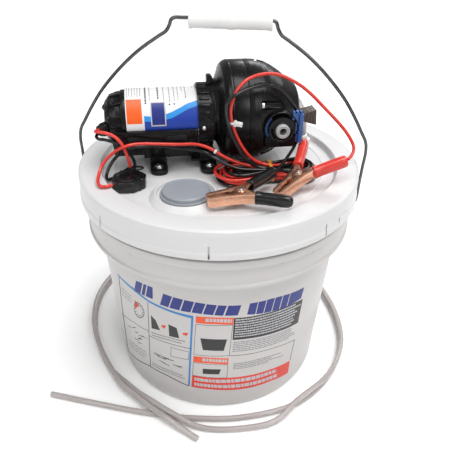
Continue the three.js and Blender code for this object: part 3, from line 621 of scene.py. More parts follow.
# ---------------------------------------------------------------- pail
PAIL_WALL = (129.6, 3.5), (140.5, 201)  # radius and height of the tapered wall's foot and top
PAIL_PROFILE = [
    (0, 3), (116, 3, 2), (120, 0.2, 1), (126, 0, 1.4), (*PAIL_WALL[0], 3), (*PAIL_WALL[1], 0.6),
    (141.5, 233.5, 1.5),
    (149.3, 233.5, 1.5), (149.3, 201.2, 0.4), (151.9, 201, 0.9), (151.9, 204.6, 0.8), (150.2, 206, 0.8),
    (149.4, 224.6, 0.8), (152.8, 226, 0.9), (152.8, 234.4, 1.6), (149.6, 236, 0.8),
    (146.4, 236.2, 0.8), (147, 265.5, 0.8), (145, 265.5, 0.8), (144.3, 238.5, 2), (139.5, 233.5, 2),
    (138.5, 201, 1), (127.6, 7.5, 2), (124, 5.2, 1), (0, 5.2),
]


def make_pail():
    shell = lathe(PAIL_PROFILE, 192, 0.6)
    ears = []
    for side in (0, 180):
        ear = lathe([(2.6, 148, 0), (11, 148, 0), (11, 157, 1), (9.4, 157.4, 0.6), (8.6, 156.2, 0.5),
                     (4.6, 156.2, 0.5), (4, 157, 0.4), (2.6, 157, 0.4)], 48)
        ears.append(moved(ear, ALONG, turn(side, "Z"), shift(z=220)))
    ribs = []
    for k in range(24):
        if k % 12 in (0, 11, 1):
            continue
        rib = box((141, 149.8), (-0.8, 0.8), (203, 233))
        ribs.append(moved(rib, turn(15 * k, "Z")))
    piece("pail_body", joined(shell, *ears, *ribs), "pail_white", "pail", ["pail"])


make_pail()

# ---------------------------------------------------------------- lid and pour spout
LID_PROFILE = [
    (0, 263), (129.5, 263, 3), (131.5, 270, 1.8), (152.2, 270, 1.4), (154.9, 268.6, 1.4), (155.4, 264, 2),
    (155.4, 247.6, 0.8), (156.4, 245.6, 0.8), (156.4, 239.4, 1.2), (154.4, 239, 0.6), (153.2, 266.4, 1),
    (152, 267.8, 0.8), (142.6, 267.8, 0.8), (142.2, 257.5, 0.4), (140.4, 257.5, 0.4), (140.2, 267.8, 0.8),
    (133.2, 267.8, 1), (131.2, 260.8, 1.5), (0, 260.8),
]
SPOUT_X, SPOUT_Y = -26, -85.5


def make_lid():
    cover = lathe(LID_PROFILE, 192, 0.8)
    hole = cylinder(23.5, 250, 280, 96, 0)
    moved(hole, shift(SPOUT_X, SPOUT_Y))
    outlet = moved(cylinder(5.6, 250, 280, 48, 0), shift(94.5, 71))
    cover = cut(cover, hole, outlet)
    boss = lathe([(23.5, 261.2, 0.3), (36.9, 261.4, 0), (37, 263, 1.2), (34.4, 265.6, 1.5),
                  (30.6, 269.2, 1.2),
                  (29.4, 269.2, 0.7), (28.4, 266.2, 0.5), (23.5, 265.2, 0.4)], 128)
    moved(boss, shift(SPOUT_X + 1, SPOUT_Y + 1))
    lugs = []
    for k in range(8):
        slit = box((154.1, 158), (-0.9, 0.9), (240.6, 254))
        lugs.append(moved(slit, turn(-87.5 + 45 * k, "Z")))
    cover = cut(cover, *lugs)
    tab = moved(prism([(-9, 242), (9, 242), (9, 252), (-9, 252)], 0, 1.1, 2.2), turn(90, "X"),
                turn(90, "Z"),
                shift(155.2), turn(-30.9, "Z"))
    step = lathe([(70, 262.6, 0), (118.2, 262.6, 0), (118.2, 263.5, 0.5), (116.4, 263.7, 0.6),
                  (115.8, 263.2, 0.5),
                  (70, 263.25, 0)], 160)
    piece("lid_cover", joined(cover, boss, tab, step), "lid_white", "lid", ["lid"], angle=28)


make_lid()


def make_spout_cap():
    cap = lathe([
        (0, 271.8), (20.4, 271.8, 0.5), (21.2, 271.2, 0.4), (22, 271.2, 0.4), (22.6, 272, 0.5),
        (23.6, 271.9, 0.6),
        (23.8, 268.4, 0.3), (24.6, 268.4, 0.3), (25.7, 268.9, 0.5), (26, 268, 0.5), (25.6, 265.8, 0.3),
        (21.9, 265.8, 0.3),
        (21.9, 257, 0.4), (20.3, 257, 0.4), (20.3, 269.8, 0.6), (0, 269.8),
    ], 128)
    piece("pour_cap", moved(cap, shift(SPOUT_X + 1.6, SPOUT_Y + 1.2)), "grey_cap", "cap", ["spout_cap"])


make_spout_cap()

# ---------------------------------------------------------------- bail
BAIL_SIDE = [
    (0, 416.3), (20, 416.3), (40, 416.3), (48.6, 416), (51.6, 414.2), (53.8, 408.6), (57.5, 403),
    (65.5, 397.8),
    (85.5, 384), (106, 366), (127, 343.3), (140, 325.3), (151.5, 306.5), (158, 295), (160, 284),
    (159.7, 268),
    (159.5, 245), (159.5, 226), (158.3, 221.6), (154.5, 220), (150, 220), (145, 220),
]
LEAN = 3.2  # how far the arch has been pushed sideways at its top
EAR_Z = 220
ARCH_HEIGHT = 196


def make_bail():
    right = [Vector((x, 0, z)) for x, z in BAIL_SIDE]
    left = [Vector((-x, 0, z)) for x, z in BAIL_SIDE[1:]][::-1]
    arch = [Vector((p.x + LEAN * (p.z - EAR_Z) / ARCH_HEIGHT, p.y, p.z)) for p in left + right]
    wire = pipe(catmull_rom(arch, 6), 1.7, 20)
    knobs = [moved(cylinder(3.4, 144.3, 146.2, 24, 0.5), ALONG, turn(side, "Z"), shift(z=EAR_Z))
             for side in (0, 180)]
    piece("bail", joined(wire, *knobs), "zinc_wire", "bail", ["bail_wire"], angle=50)
    grip = lathe([
        (5, -34, 0.5), (7.3, -34, 0.9), (7.3, -32, 0.9), (6.5, -29, 1), (6.7, 3, 0.8), (7.2, 5, 0.7),
        (7.2, 9, 0.7),
        (6.7, 11, 0.8), (6.5, 43, 1), (7.3, 46, 0.9), (7.3, 48, 0.9), (5, 48, 0.5),
    ], 56)
    piece("grip_sleeve", moved(grip, ALONG, shift(LEAN, 0, 413.6)), "white_nylon", "grip", ["bail_grip"])


make_bail()


# ---------------------------------------------------------------- pump: u along the shaft, v back, w up
PUMP = shift(29.2, 22, 318.9) @ turn(14, "Z")
MOTOR_AXIS = shift(z=-5.2)  # the motor runs a little below the head's axis
SHAFT = PUMP @ MOTOR_AXIS
PORT = shift(26, 0, -4.5)
BOLT_CIRCLE = 49.6
FIRST_BOLT, BOLT_STEP = 85, 72  # degrees
SHOULDER = PUMP @ shift(-148, -6, 12.5) @ turn(-40, "Y")
GLAND = PUMP @ shift(-154.5, -18, -8.5) @ turn(-42, "Z") @ turn(90, "X")
MOTOR_R = 31.5


def run_along(points, low, high, radius=0.0):
    return moved(prism(points, low, high, radius), turn(90, "X"), turn(90, "Z"))


def run_across(points, low, high, radius=0.0):
    return moved(prism(points, -high, -low, radius), turn(90, "X"))


def rod_across(radius, low, high, edge=0.0):
    return moved(cylinder(radius, low, high, 64, edge), turn(-90, "X"), PORT)


def ink(name, color, rough=0.4):
    LOOKS[name] = surface("ink_" + name, color, rough, tint=0.05, patch=120, grain=2400, depth=0.00002)


for ink_name, ink_color in {
    "ink_orange": (0.86, 0.11, 0.006), "ink_light_blue": (0.02, 0.28, 0.72),
    "ink_dark_blue": (0.006, 0.042, 0.36),
    "ink_black": (0.014, 0.014, 0.016), "ink_grey": (0.22, 0.22, 0.24), "ink_red": (0.70, 0.035, 0.016),
    "ink_title": (0.008, 0.020, 0.20), "ink_thin_blue": (0.03, 0.20, 0.50),
    "ink_pale": (0.50, 0.50, 0.52),
}.items():
    ink(ink_name, ink_color)


def wrapped(polygons, place, cell, low, high):
    """Flat outlines laid on a curved surface as slabs, from low to high above it, by place(x, y, height)."""
    bm = bmesh.new()
    for polygon in polygons:
        bm.faces.new([bm.verts.new((x, y, 0)) for x, y in polygon])
    for axis in (0, 1):
        if not cell[axis]:
            continue
        values = [v.co[axis] for v in bm.verts]
        spot = math.floor(min(values) / cell[axis]) * cell[axis]
        while spot < max(values):
            normal = (1, 0, 0) if axis == 0 else (0, 1, 0)
            geom = bm.verts[:] + bm.edges[:] + bm.faces[:]
            bmesh.ops.bisect_plane(bm, geom=geom, plane_co=tuple(spot * c for c in normal), plane_no=normal)
            spot += cell[axis]
    made = bmesh.ops.extrude_face_region(bm, geom=bm.faces[:])
    for vert in [g for g in made["geom"] if isinstance(g, bmesh.types.BMVert)]:
        vert.co.z = 1
    for vert in bm.verts:
        vert.co = place(vert.co.x, vert.co.y, high if vert.co.z > 0.5 else low)
    bmesh.ops.recalc_face_normals(bm, faces=bm.faces)
    mesh = bpy.data.meshes.new("print")
    bm.to_mesh(mesh)
    bm.free()
    return mesh


def on_motor(u, degrees, height):
    a = math.radians(degrees)
    r = MOTOR_R + height
    return Vector((u, r * math.cos(a), r * math.sin(a)))


def bar(u0, u1, a0, a1):
    return [(u0, a0), (u1, a0), (u1, a1), (u0, a1)]


def text_column(u, width, start, stop, shortest=2.0, longest=7.0):
    """A column of generic bars in place of small print, running round the motor."""
    bars, spot = [], stop
    while spot > start:
        size = rng.uniform(shortest, longest)
        low = max(start, spot - size)
        bars.append(bar(u - width / 2, u + width / 2, low, spot))
        spot = low - rng.uniform(0.9, 1.6)
    return bars


WAVE_TOP = [(-114, 156.5), (-107.3, 157.6), (-99.3, 156.5), (-92.5, 155), (-85.5, 151), (-77.1, 143.7),
            (-68.7, 135.6), (-56.4, 128.8)]
WAVE_MID = [(-114, 166.7), (-106.6, 167.2), (-92.8, 165.2), (-84.7, 161.7), (-76.4, 154.1), (-68.1, 146.5),
            (-56.4, 140)]
WAVE_LOW = [(-114, 184), (-100, 184.4), (-80, 184.4), (-56.4, 184)]


def make_motor():
    can = lathe([(31.3, -132.6, 0.3), (31.5, -132, 0.4), (31.5, -53.4, 0.4), (6, -53.4, 0.4),
                 (6, -56.4, 0.4),
                 (29.7, -56.4, 0.5), (29.7, -132.6, 0.3)], 128)
    piece("motor_sleeve", moved(can, ALONG), "motor_label", "lid", ["motor_can"], SHAFT)
    prints = {
        "ink_orange": [bar(-131.6, -116, 123, 170.5)],
        "ink_light_blue": [WAVE_TOP + WAVE_MID[::-1]],
        "ink_dark_blue": [WAVE_MID + WAVE_LOW[::-1]],
        "ink_black": [],
        "ink_grey": [],
    }
    for u, a in ((-93.5, 137.1), (-87.2, 136.5), (-82.2, 135.7)):
        prints["ink_black"].append([(u + 0.95 * math.cos(t), a + 1.75 * math.sin(t))
                                    for t in (k * math.pi / 6 for k in range(12))])
    for u, width, start, stop in ((-130.6, 0.7, 60, 117), (-128, 0.7, 60, 114), (-125.2, 0.7, 60, 117),
                                  (-122.4, 0.7, 60, 112),
                                  (-119.6, 0.7, 60, 117), (-116.8, 0.7, 60, 116), (-107.3, 0.8, 60, 126.5),
                                  (-92.8, 0.8, 60, 133), (-86.8, 0.8, 60, 131), (-81.8, 0.8, 60, 130),
                                  (-77.9, 0.7, 60, 128),
                                  (-73.4, 0.6, 60, 104), (-69.9, 0.8, 60, 124), (-62, 0.7, 60, 90)):
        prints["ink_grey"] += text_column(u, width, start, stop)
    prints["ink_black"] += text_column(-111.6, 1.7, 62, 134, 3, 5)
    prints["ink_black"] += text_column(-98.6, 1.4, 62, 124, 3, 6)
    prints["ink_pale"] = [bar(-107.2, -91.6, 130, 176.4)]
    prints["ink_title"] = [bar(-106, -92.8, 132.4, 174)]
    lifts = {"ink_light_blue": 0.05, "ink_dark_blue": 0.05, "ink_pale": 0.09, "ink_title": 0.12}
    for name, polygons in prints.items():
        lift = lifts.get(name, 0.07)
        mesh = wrapped(polygons, on_motor, (0, 3), -0.1, lift)
        piece("motor_" + name[4:], mesh, name, "lid", (), SHAFT, 20)


make_motor()


def make_rear_cover():
    cup = lathe([
        (0, -156), (10, -155.9, 1), (11, -155, 0.6), (19, -154.9, 3), (24.4, -150.6, 4), (27, -143, 3),
        (27.4, -138.4, 0.5),
        (30.4, -137.6, 0.8), (30.6, -132.6, 0.6), (28.2, -132.6, 0.5), (25.6, -141, 2), (19, -152.4, 2),
        (10.3, -152.4, 0.5), (10.3, -147.5, 0.4), (8.4, -147.5, 0.4), (8.4, -153.4, 0.4), (0, -153.4),
    ], 96)
    moved(cup, ALONG, MOTOR_AXIS)
    turret = moved(lathe([(7.2, -3, 0), (9.4, -3, 0), (9, 4.5, 0.8), (7.2, 4.5, 0.5)], 64),
                   turn(-40, "Y"), shift(-148, -6, 12.5))
    gland = moved(lathe([(5.1, -4, 0), (7.4, -4, 0), (7.2, 4.6, 0.6), (6.4, 5.4, 0.4), (5.1, 5.4, 0.3)],
                        48),
                  turn(90, "X"), turn(-42, "Z"), shift(-154.5, -18, -8.5))
    ribs = []
    for a in (100, 128, 156, 184, 212, 240, 300, 20, 60):
        rib = moved(run_across([(-154, 17), (-150.2, 26.4), (-142, 29.4), (-137, 30), (-137, 24),
                                (-150, 20)], -1.1, 1.1),
                    turn(a - 90, "X"), MOTOR_AXIS)
        ribs.append(rib)
    piece("motor_rear_cover", joined(bevelled(joined(cup), 0.25, 1, 40), turret, gland,
                                     *[bevelled(r, 0.5, 2) for r in ribs]),
          "black_nylon", "lid", ["rear_cover"], PUMP)
    dome = lathe([(0, 0.2), (6.6, 0.2, 0.6), (6.7, 3.4, 0.6), (5.9, 3.8, 0.4), (5.9, 5, 0.8),
                  (5.2, 7.6, 2.2), (3, 9.4, 2),
                  (0, 9.8)], 64, 0.6, 5)
    piece("switch_boot", dome, "black_rubber", "switch", ["switch_button"],
          shift(4.6, -1, -0.6) @ SHOULDER)
    boot = lathe([(0, -4), (4.7, -4, 0.3), (4.8, 5.4, 0.3), (6.1, 5.5, 0.4), (6.1, 6.7, 0.4),
                  (4.7, 6.9, 0.3), (4.7, 7.5, 0.3),
                  (6, 7.7, 0.4), (6, 8.8, 0.4), (4.6, 9, 0.3), (4.2, 9.6, 0.5), (0, 9.6)], 56)
    piece("lead_boot", boot, "black_rubber", "lid", ["strain_relief"], GLAND)


make_rear_cover()

LEG_IN = 12  # where a foot's leg starts, counted for a foot 32 out from the middle
FOOT_OUT = 32
FEET = {"rear_right": (-102, -32), "rear_left": (-102, 32), "front_right": (-47.5, -35),
        "front_left": (-47.5, 35)}


def make_cradle():
    keel = run_along([(-35, -7), (-35, -20), (-29, -27), (-22, -39.4), (22, -39.4), (29, -27), (35, -20),
                      (35, -7)],
                     -148, -59, 1.5)
    deck = run_along([(-29, -24), (-24, -42), (24, -42), (29, -24)], -117, -60)
    hollow = moved(cylinder(31.9, -160, -50, 128, 0), ALONG, MOTOR_AXIS)
    tray = cut(fused(keel, deck), hollow)
    step = box((-66, -58.6), (-22, 22), (-46.6, -41))
    tongue = box((-66, -38), (-28, 28), (-46.6, -44.3))
    solids = [step, tongue]
    for u, v in FEET.values():
        side = 1 if v > 0 else -1
        leg = run_along([(LEG_IN, -38), (LEG_IN + 8, -38), (LEG_IN + 10, -50.8), (LEG_IN + 4.5, -50.8)],
                        u - 9.2, u + 9.2, 0.8)
        moved(leg, shift(y=abs(v) - FOOT_OUT))
        if side < 0:
            leg = mirror_y(leg)
        solids.append(leg)
    mesh = fused(tray, *solids)
    mesh = bevelled(mesh, 0.7, 3, 38)
    lip = run_along([(-36.2, -9.6), (-36.2, -7.2), (-31.4, -7.2), (-31.4, -9.6)], -146, -62)
    lips = [bevelled(lip, 0.4, 2), bevelled(mirror_y(lip.copy()), 0.4, 2)]
    bosses = []
    for u in (-86, -80.5):
        bosses.append(moved(cylinder(1.7, 33.6, 36.2, 24, 0.5), turn(90, "X"), shift(u, 0, -15.6)))
    saddle = bevelled(run_across([(-97, -25), (-92, -12.6), (-72, -12.6), (-67, -25)], -36.6, -33.4),
                      0.9, 3)
    piece("motor_cradle", joined(mesh, *lips, saddle), "black_nylon", "lid", ["base_cradle"], PUMP)
    piece("cradle_rivets", joined(*bosses), "steel", "lid", (), PUMP)
    for name, (u, v) in FEET.items():
        side = 1 if v > 0 else -1
        tab = [(-9.4, -14, 1.5), (9.4, -14, 1.5), (9.4, 2),
               *[(9.4 * math.cos(a), 2 + 8 * math.sin(a)) for a in
               (0.3, 0.7, 1.1, 1.571, 2.04, 2.44, 2.84)], (-9.4, 2)]
        foot = bevelled(cut(prism(tab, -55.6, -50.6), cylinder(2.5, -60, -40, 24, 0)), 1.0, 3, 50)
        collar = lathe([(2.5, -51, 0), (6.6, -51, 0), (6.4, -49.6, 0.5), (2.5, -49.4, 0.3)], 48)
        bush = joined(foot, collar)
        if side < 0:
            bush = mirror_y(bush)
        piece("bush_" + name, moved(bush, shift(u, v)), "black_rubber", "lid", ["foot_bush_" + name], PUMP)
        screw = lathe([(0, -55.2), (2.2, -55.2, 0.3), (2.2, -49.3, 0.2), (5, -49.3, 0.3),
                       (5, -48.6, 0.3), (3.9, -48.5), (3.8, -47.2, 0.8),
                       (2.4, -46.4, 0.7), (0, -46.3)], 40)
        slots = [moved(box((-2.4, 2.4), (-0.45, 0.45), (-47.6, -44)), turn(a, "Z")) for a in (20, 110)]
        piece("screw_" + name, moved(bevelled(cut(screw, *slots), 0.12, 1), shift(u, v)), "steel", "lid",
              ["foot_screw_" + name], PUMP)


make_cradle()


# ---------------------------------------------------------------- gear housing and pump head
def make_housings():
    body = lathe([
        (0, -57), (30, -57), (30, -45), (31.4, -43, 1), (32, -40, 2), (34.6, -36.6, 3), (42.6, -33.4, 4),
        (49, -31.2, 3),
        (52, -28, 2), (53.4, -24.4, 1.4), (53.4, -22.5, 0.5), (0, -22.5),
    ], 128, 0.6, 5)
    moved(body, ALONG)
    lug = run_across([(-46.5, 24), (-38.6, 24), (-39.4, 36, 2), (-41.5, 39.6, 2), (-46.5, 39.6, 2)], -4, 4)
    cavity = moved(lathe([(0, -42), (28, -42), (30, -37), (38, -31.6), (46, -27), (50.4, -23),
                          (50.4, -20), (0, -20)], 64, 0), ALONG)
    mouth = moved(cylinder(31.9, -60, -53.1, 96, 0), ALONG, MOTOR_AXIS)
    bore = moved(cylinder(8.3, -60, -40, 48, 0), ALONG, MOTOR_AXIS)
    collar = moved(cylinder(34.4, -58, -42, 128, 0), ALONG, MOTOR_AXIS)
    shell = cut(fused(body, collar, lug), cavity, mouth, bore)
    ribs = []
    for a in range(0, 360, 13):
        if 250 < a < 290:
            continue
        rib = box((-56.6, -45.4), (-1.6, 1.6), (33.8, 35.6))
        ribs.append(moved(bevelled(rib, 0.5, 2), turn(a - 90, "X"), MOTOR_AXIS))
    piece("gear_case", joined(bevelled(shell, 0.6, 3, 38), *ribs), "black_nylon", "lid",
          ["gear_housing"], PUMP)
    pin = moved(lathe([(0, 32), (2.3, 32), (2.3, 35.6, 0.4), (1.5, 36.4, 0.5), (0, 36.5)], 32),
                turn(90, "X"), shift(-52.6, 0, -6.4))
    piece("collar_screw", pin, "steel", "lid", (), PUMP)
    wall = lathe([(53.3, -22.2, 0.4), (53.4, -7.2, 0.5), (49.6, -7.2, 0.4), (49.6, -22.2, 0.4)], 144)
    piece("drive_case", moved(wall, ALONG), "black_nylon", "lid", ["drive_housing"], PUMP)


make_housings()

HEAD_PROFILE = [
    (0, -6.9), (53.3, -6.9, 0.5), (53.5, -2, 2), (53, 4.6, 3), (52.2, 10, 3), (50.6, 16, 4),
    (47.3, 23, 5), (42.3, 31, 6),
    (36.5, 38.4, 6), (31, 45.4, 5), (26.6, 51, 4), (21, 53.6, 3), (10, 55.1, 2), (0, 55.3),
]


def head_angle(mesh, degrees):
    """Turns a piece made along +w round the shaft to an angle measured from +v towards +w."""
    return moved(mesh, turn(degrees - 90, "X"))


def make_head():
    dome = moved(lathe(HEAD_PROFILE, 128, 0.6, 5), ALONG)
    flats = [box((3.6, 60), (46.4, 60), (-22.5, 13.5)), mirror_y(box((3.6, 60), (46.4, 60), (-22.5, 13.5)))]
    bosses, bores = [], []
    for side in (-1, 1):
        for tool, low, high in ((18, 30, 43.5), (13.5, 30, 54.2)):
            bosses.append(rod_across(tool, low * side if side > 0 else -high, high if side > 0 else -low))
        bores.append(rod_across(7.6, 44.2 if side > 0 else -60, 60 if side > 0 else -44.2))
        bores.append(rod_across(4, 20 if side > 0 else -60, 60 if side > 0 else -20))
    chamber = moved(lathe([(0, -8), (43, -8), (43, 10), (40, 20), (32, 33), (20, 46), (0, 49.5)], 64, 0),
                    ALONG)
    slots = []
    for side in (-1, 1):
        for end in (-1, 1):
            v = sorted((46.4 * side, 51 * side))
            w = sorted((8.5 * end - 4.5, 20 * end - 4.5))
            slots.append(box((10, 42), v, w))
    troughs = []
    channel = [(4.7 * math.cos(a), BOLT_CIRCLE + 4.7 * math.sin(a))
               for a in (math.pi * (1 + k / 12) for k in range(13))]
    for k in range(5):
        troughs.append(head_angle(run_along([(-4.7, 70), *channel, (4.7, 70)], 4.6, 62), FIRST_BOLT
                                  + BOLT_STEP * k))
    shell = cut(fused(cut(dome, *flats), *bosses), chamber, *bores, *slots, *troughs)
    drums = []
    for side in (-1, 1):
        drum = lathe([(13.45, 43.2), (17.6, 43.2), (18.2, 46, 0.6), (18.2, 50.6, 0.8), (17.6, 51.4, 0.5),
                      (17.1, 51.4, 0.3),
                      (16.9, 50.8, 0.3), (16.9, 46.4, 0.4), (13.45, 46.4)], 96)
        drums.append(moved(drum, turn(-90 * side, "X"), PORT))
    piece("head_cover", joined(bevelled(shell, 0.55, 3, 40), *drums), "black_nylon", "lid",
          ["pump_head"], PUMP)
    screws = []
    for k in range(5):
        screw = lathe([(0, 1), (1.9, 1), (1.9, 4.8), (3.9, 4.9, 0.3), (3.9, 7.6, 0.8), (2.2, 8.3, 0.5),
                       (1.9, 7, 0.3), (0, 6.9)], 32)
        screws.append(head_angle(moved(screw, ALONG, shift(z=BOLT_CIRCLE)), FIRST_BOLT + BOLT_STEP * k))
    piece("head_screws", joined(*screws), "steel", "lid", (), PUMP)


make_head()


def make_ports():
    frame_out = [(4.5, -9, 1), (10, -15, 1), (48.5, -15, 1), (48.5, 15.5, 1), (36, 15.5, 1), (10, 14, 1),
                 (4.5, 8, 1)]
    frame_in = [(8.4, -7, 1), (12, -9.2, 1), (41.2, -9.2, 1), (41.2, 9.2, 1), (12, 9.2, 1), (8.4, 7, 1)]
    for name, node, body, side in (("inlet_latch", "inlet_clip", "inlet_clip", -1),
                                   ("outlet_latch", "outlet_clip", "outlet_clip", 1)):
        plate = cut(run_across(frame_out, -50.6, -46.8), run_across(frame_in, -60, -40),
                    box((0, 37.4), (-60, -40), (-30, 30)))
        hook = lathe([(14, -49.4, 0.3), (16.7, -49.4, 0.3), (16.7, -47.4), (14, -47.4)], 96)
        hook = cut(moved(hook, turn(-90, "X")), box((-10, 30), (-60, -40), (-30, 30)))
        moved(hook, shift(26))
        teeth = [box((u, u + 2.2), (-50.6, -45.4), (14, 18)) for u in (37.5, 41.5, 45.5)]
        tab = box((44.5, 48.5), (-53.4, -46.8), (-15, 15.5))
        grooves = [box((48, 50), (-60, -40), (w, w + 1.6)) for w in (-11, -6.6, -2.2, 2.2, 6.6, 11)]
        clip = joined(bevelled(cut(fused(plate, tab, *teeth), *grooves), 0.35, 2, 40),
                      bevelled(hook, 0.25, 2, 50))
        moved(clip, shift(z=-4.5))
        if side > 0:
            clip = mirror_y(clip)
        piece(name, clip, "blue_nylon", body, [node], PUMP)
    inlet = lathe([
        (3.9, 44.5, 0.3), (7.2, 44.5, 0.4), (7.2, 59.2, 0.5), (6.6, 60, 0.3), (5.9, 60, 0.2),
        (5.7, 59.2, 0.2), (5.2, 59.2, 0.2),
        (5, 60, 0.3), (4.2, 60, 0.3), (3.9, 59.4, 0.2),
    ], 72)
    piece("inlet_port", moved(inlet, turn(90, "X"), PORT), "grey_acetal", "lid", ["inlet_fitting"], PUMP)
    seal = moved(lathe([(7.25, 53.4, 0.3), (9.6, 53.4, 0.4), (9.6, 55.2, 0.7), (7.25, 55.2, 0.5)], 64),
                 turn(90, "X"), PORT)
    piece("inlet_ring", seal, "black_rubber", "lid", (), PUMP)
    stem = rod_across(7.2, 44.5, 69, 0.8)
    barb = lathe([(0, 0), (3.9, 0), (6.4, 0), (6.4, 9, 0.6), (3.6, 9.4, 0.4), (3.6, 10, 0),
                  (4.25, 13, 0.2), (3.5, 13.4, 0.2), (4.2, 16.4, 0.2),
                  (3.5, 16.8, 0.2), (3.9, 19.6, 0.5), (0, 20)], 48)
    outlet = fused(stem, moved(barb, ALONG, shift(26, 62, -4.5)))
    bore = moved(cylinder(2.6, 24, 60, 32, 0), ALONG, shift(0, 62, -4.5))
    piece("outlet_elbow", cut(outlet, bore), "grey_acetal", "lid", ["outlet_fitting"], PUMP)
    cap = run_across([(60.5, -7), (62.5, -5.4), (77.3, -1.4), (78.8, -19.4), (63, -14.6), (60.5, -13)],
                     -8, 9, 0.8)
    neck = moved(lathe([(0, 55.6), (5, 55.6), (5, 61), (6.2, 61, 0.4), (6.2, 63, 0.4), (0, 63)], 6, 0),
                 ALONG, shift(0, 0.5, -9.5))
    seams = [run_across([(64 + 4 * k, -15.4 - k), (64.7 + 4 * k, -15.6 - k), (64.7 + 4 * k, -4.4 + k),
                         (64 + 4 * k, -4.6 + k)], -8.25, 9.25)
             for k in range(4)]
    piece("pressure_switch_cap", joined(bevelled(cap, 0.6, 2), bevelled(neck, 0.3, 2),
                                        *[bevelled(s, 0.2, 1) for s in seams]),
          "brown_phenolic", "lid", ["pressure_switch"], PUMP)


make_ports()

HOSE_ROUTE = [
    (48.5, 90.75, 314.4), (54, 92.12, 314.4), (59.5, 93.5, 314.4), (71, 96, 313.6), (83, 94, 308.5),
    (90.8, 85.4, 299.5),
    (94, 75.8, 289), (94.5, 71, 280), (94.5, 71, 273.6),
]


def make_discharge():
    hose = pipe(catmull_rom(HOSE_ROUTE, 8), 5.6, 40, 4.3)
    piece("hose", hose, "clear_vinyl", "lid", ["discharge_hose"])
    outlet = lathe([
        (2.6, 250, 0.3), (5, 250, 0.5), (5, 263.3, 0), (9.5, 263.3, 0.3), (9.5, 265.6, 0.5),
        (7.4, 266.2, 0.3), (7.4, 272.2, 0.5),
        (3.8, 272.6, 0.3), (3.8, 274, 0), (4.2, 276, 0.3), (3.6, 276.6, 0.2), (3.8, 279, 0.4),
        (2.6, 279, 0.3),
    ], 48)
    nut = lathe([(9.4, 263.4, 0.3), (12, 263.4, 0.4), (12, 267.4, 0.4), (9.4, 267.6, 0.3)], 6)
    piece("lid_fitting", moved(joined(outlet, nut), shift(94.5, 71)), "white_nylon", "lid", ["lid_outlet"])


make_discharge()


# ---------------------------------------------------------------- fuse holder
FUSE = shift(-83.8, -66.3, 263.3) @ turn(51, "Z")


def make_fuse():
    body = prism([(-0.2, -16), (-11, -16, 2), (-21, -6, 2), (-21, 6, 2), (-11, 16, 2), (-0.2, 16)], 0, 11.5)
    body = cut(bevelled(body, 1.5, 4, 50), box((-11, 1), (-8, 8), (3, 9)))
    mound = bevelled(prism([(-3.4, -11), (-10, -11), (-16, -5), (-16, 5), (-10, 11), (-3.4, 11)], 10,
                           12.1), 0.8, 3)
    rim = bevelled(prism([(-0.4, -16.4), (-2.6, -16.4), (-2.6, 16.4), (-0.4, 16.4)], -0.1, 12), 0.5, 2)
    rim = cut(rim, box((-12, 1), (-8, 8), (3, 9)))
    piece("fuse_shell", joined(body, mound, rim), "black_vinyl", "lid", ["fuse_body"], FUSE)
    cap = prism([(0.2, -16), (5, -16, 2), (12, -9, 2), (12, 9, 2), (5, 16, 2), (0.2, 16)], 0, 12.2)
    cap = cut(bevelled(cap, 1.5, 4, 50), box((-1, 9), (-8, 8), (3, 9)))
    ribs = [bevelled(prism([(x, -10), (x + 1.4, -10), (x + 1.4, 10), (x, 10)], 11.6, 13.1), 0.4, 2)
            for x in (1, 4.4, 7.8)]
    piece("fuse_lid", joined(cap, *ribs), "black_vinyl", "fuse_cap", ["fuse_cap"], FUSE)
    strap = [(-2, 14.5, 9.5), (4, 15.5, 10.6), (10, 15.8, 11), (17, 15.6, 9.6), (22.5, 14, 8.2),
             (23.6, 11.6, 7.6), (21, 10.2, 7.6),
             (15, 11.4, 8.4), (9, 12.6, 9), (5, 13.4, 8.6)]
    piece("fuse_strap", pipe(catmull_rom(strap, 6), 1.3, 12, 0, 0.6), "black_rubber", "lid", (), FUSE)


make_fuse()

# ---------------------------------------------------------------- battery clips
CLIPS = {
    "black": shift(30.9, -95.3, 276.2) @ turn(19.5, "Z") @ turn(-4.5, "Y") @ turn(4.6, "X"),
    "red": shift(86.4, -58.1, 279.6) @ turn(48.8, "Z") @ turn(-18.5, "Y") @ turn(-2.3, "X"),
}


def lever_mesh(half, mirrored):
    outline = [
        (-34, -0.4, 0.5), (-34, -4.6, 1.2), (-30, -6.6, 2), (-14, -7.6, 8), (0, -9.6, 8),
        (9.8, -12.3, 6), (37.1, -27.8, 1),
        (39.7, -23.3, 1), (12.5, -7.8, 3), (6, -1, 2), (4, 4.4, 1.6), (-4, 4.4, 1.6), (-9, -0.4, 3),
        (-12, -2.2, 2),
        (-24, -2.2, 2), (-27, -0.6, 0.6),
    ]
    hollow = [(-32, 1), (-32, -3.4, 1), (-29.6, -5.5, 1.5), (-14, -6.5, 7), (0, -8.5, 7),
              (10.3, -11.2, 5), (46.3, -31.5), (51.7, -22.3),
              (11, -4), (8, 8), (-8, 8)]
    plate = prism(outline, -half, half)
    inside = prism(hollow, 0.9 - half, half - 0.9)
    hole = cylinder(1.8, -10, 10, 32, 0)
    teeth = [prism([(x, -1.6), (x + 0.7, 0.6), (x + 1.4, -1.6)], -half - 1, half + 1)
             for x in (-33.2, -31.4, -29.6, -27.8)]
    mesh = bevelled(cut(plate, inside, hole, *teeth), 0.28, 2, 40)
    swell = moved(lathe([(2.4, half, 0), (4.2, half, 0), (3.9, half + 0.5, 0.3),
                         (2.4, half + 0.55, 0.2)], 40))
    mesh = joined(mesh, swell)
    return mirror_y(mesh) if mirrored else mesh


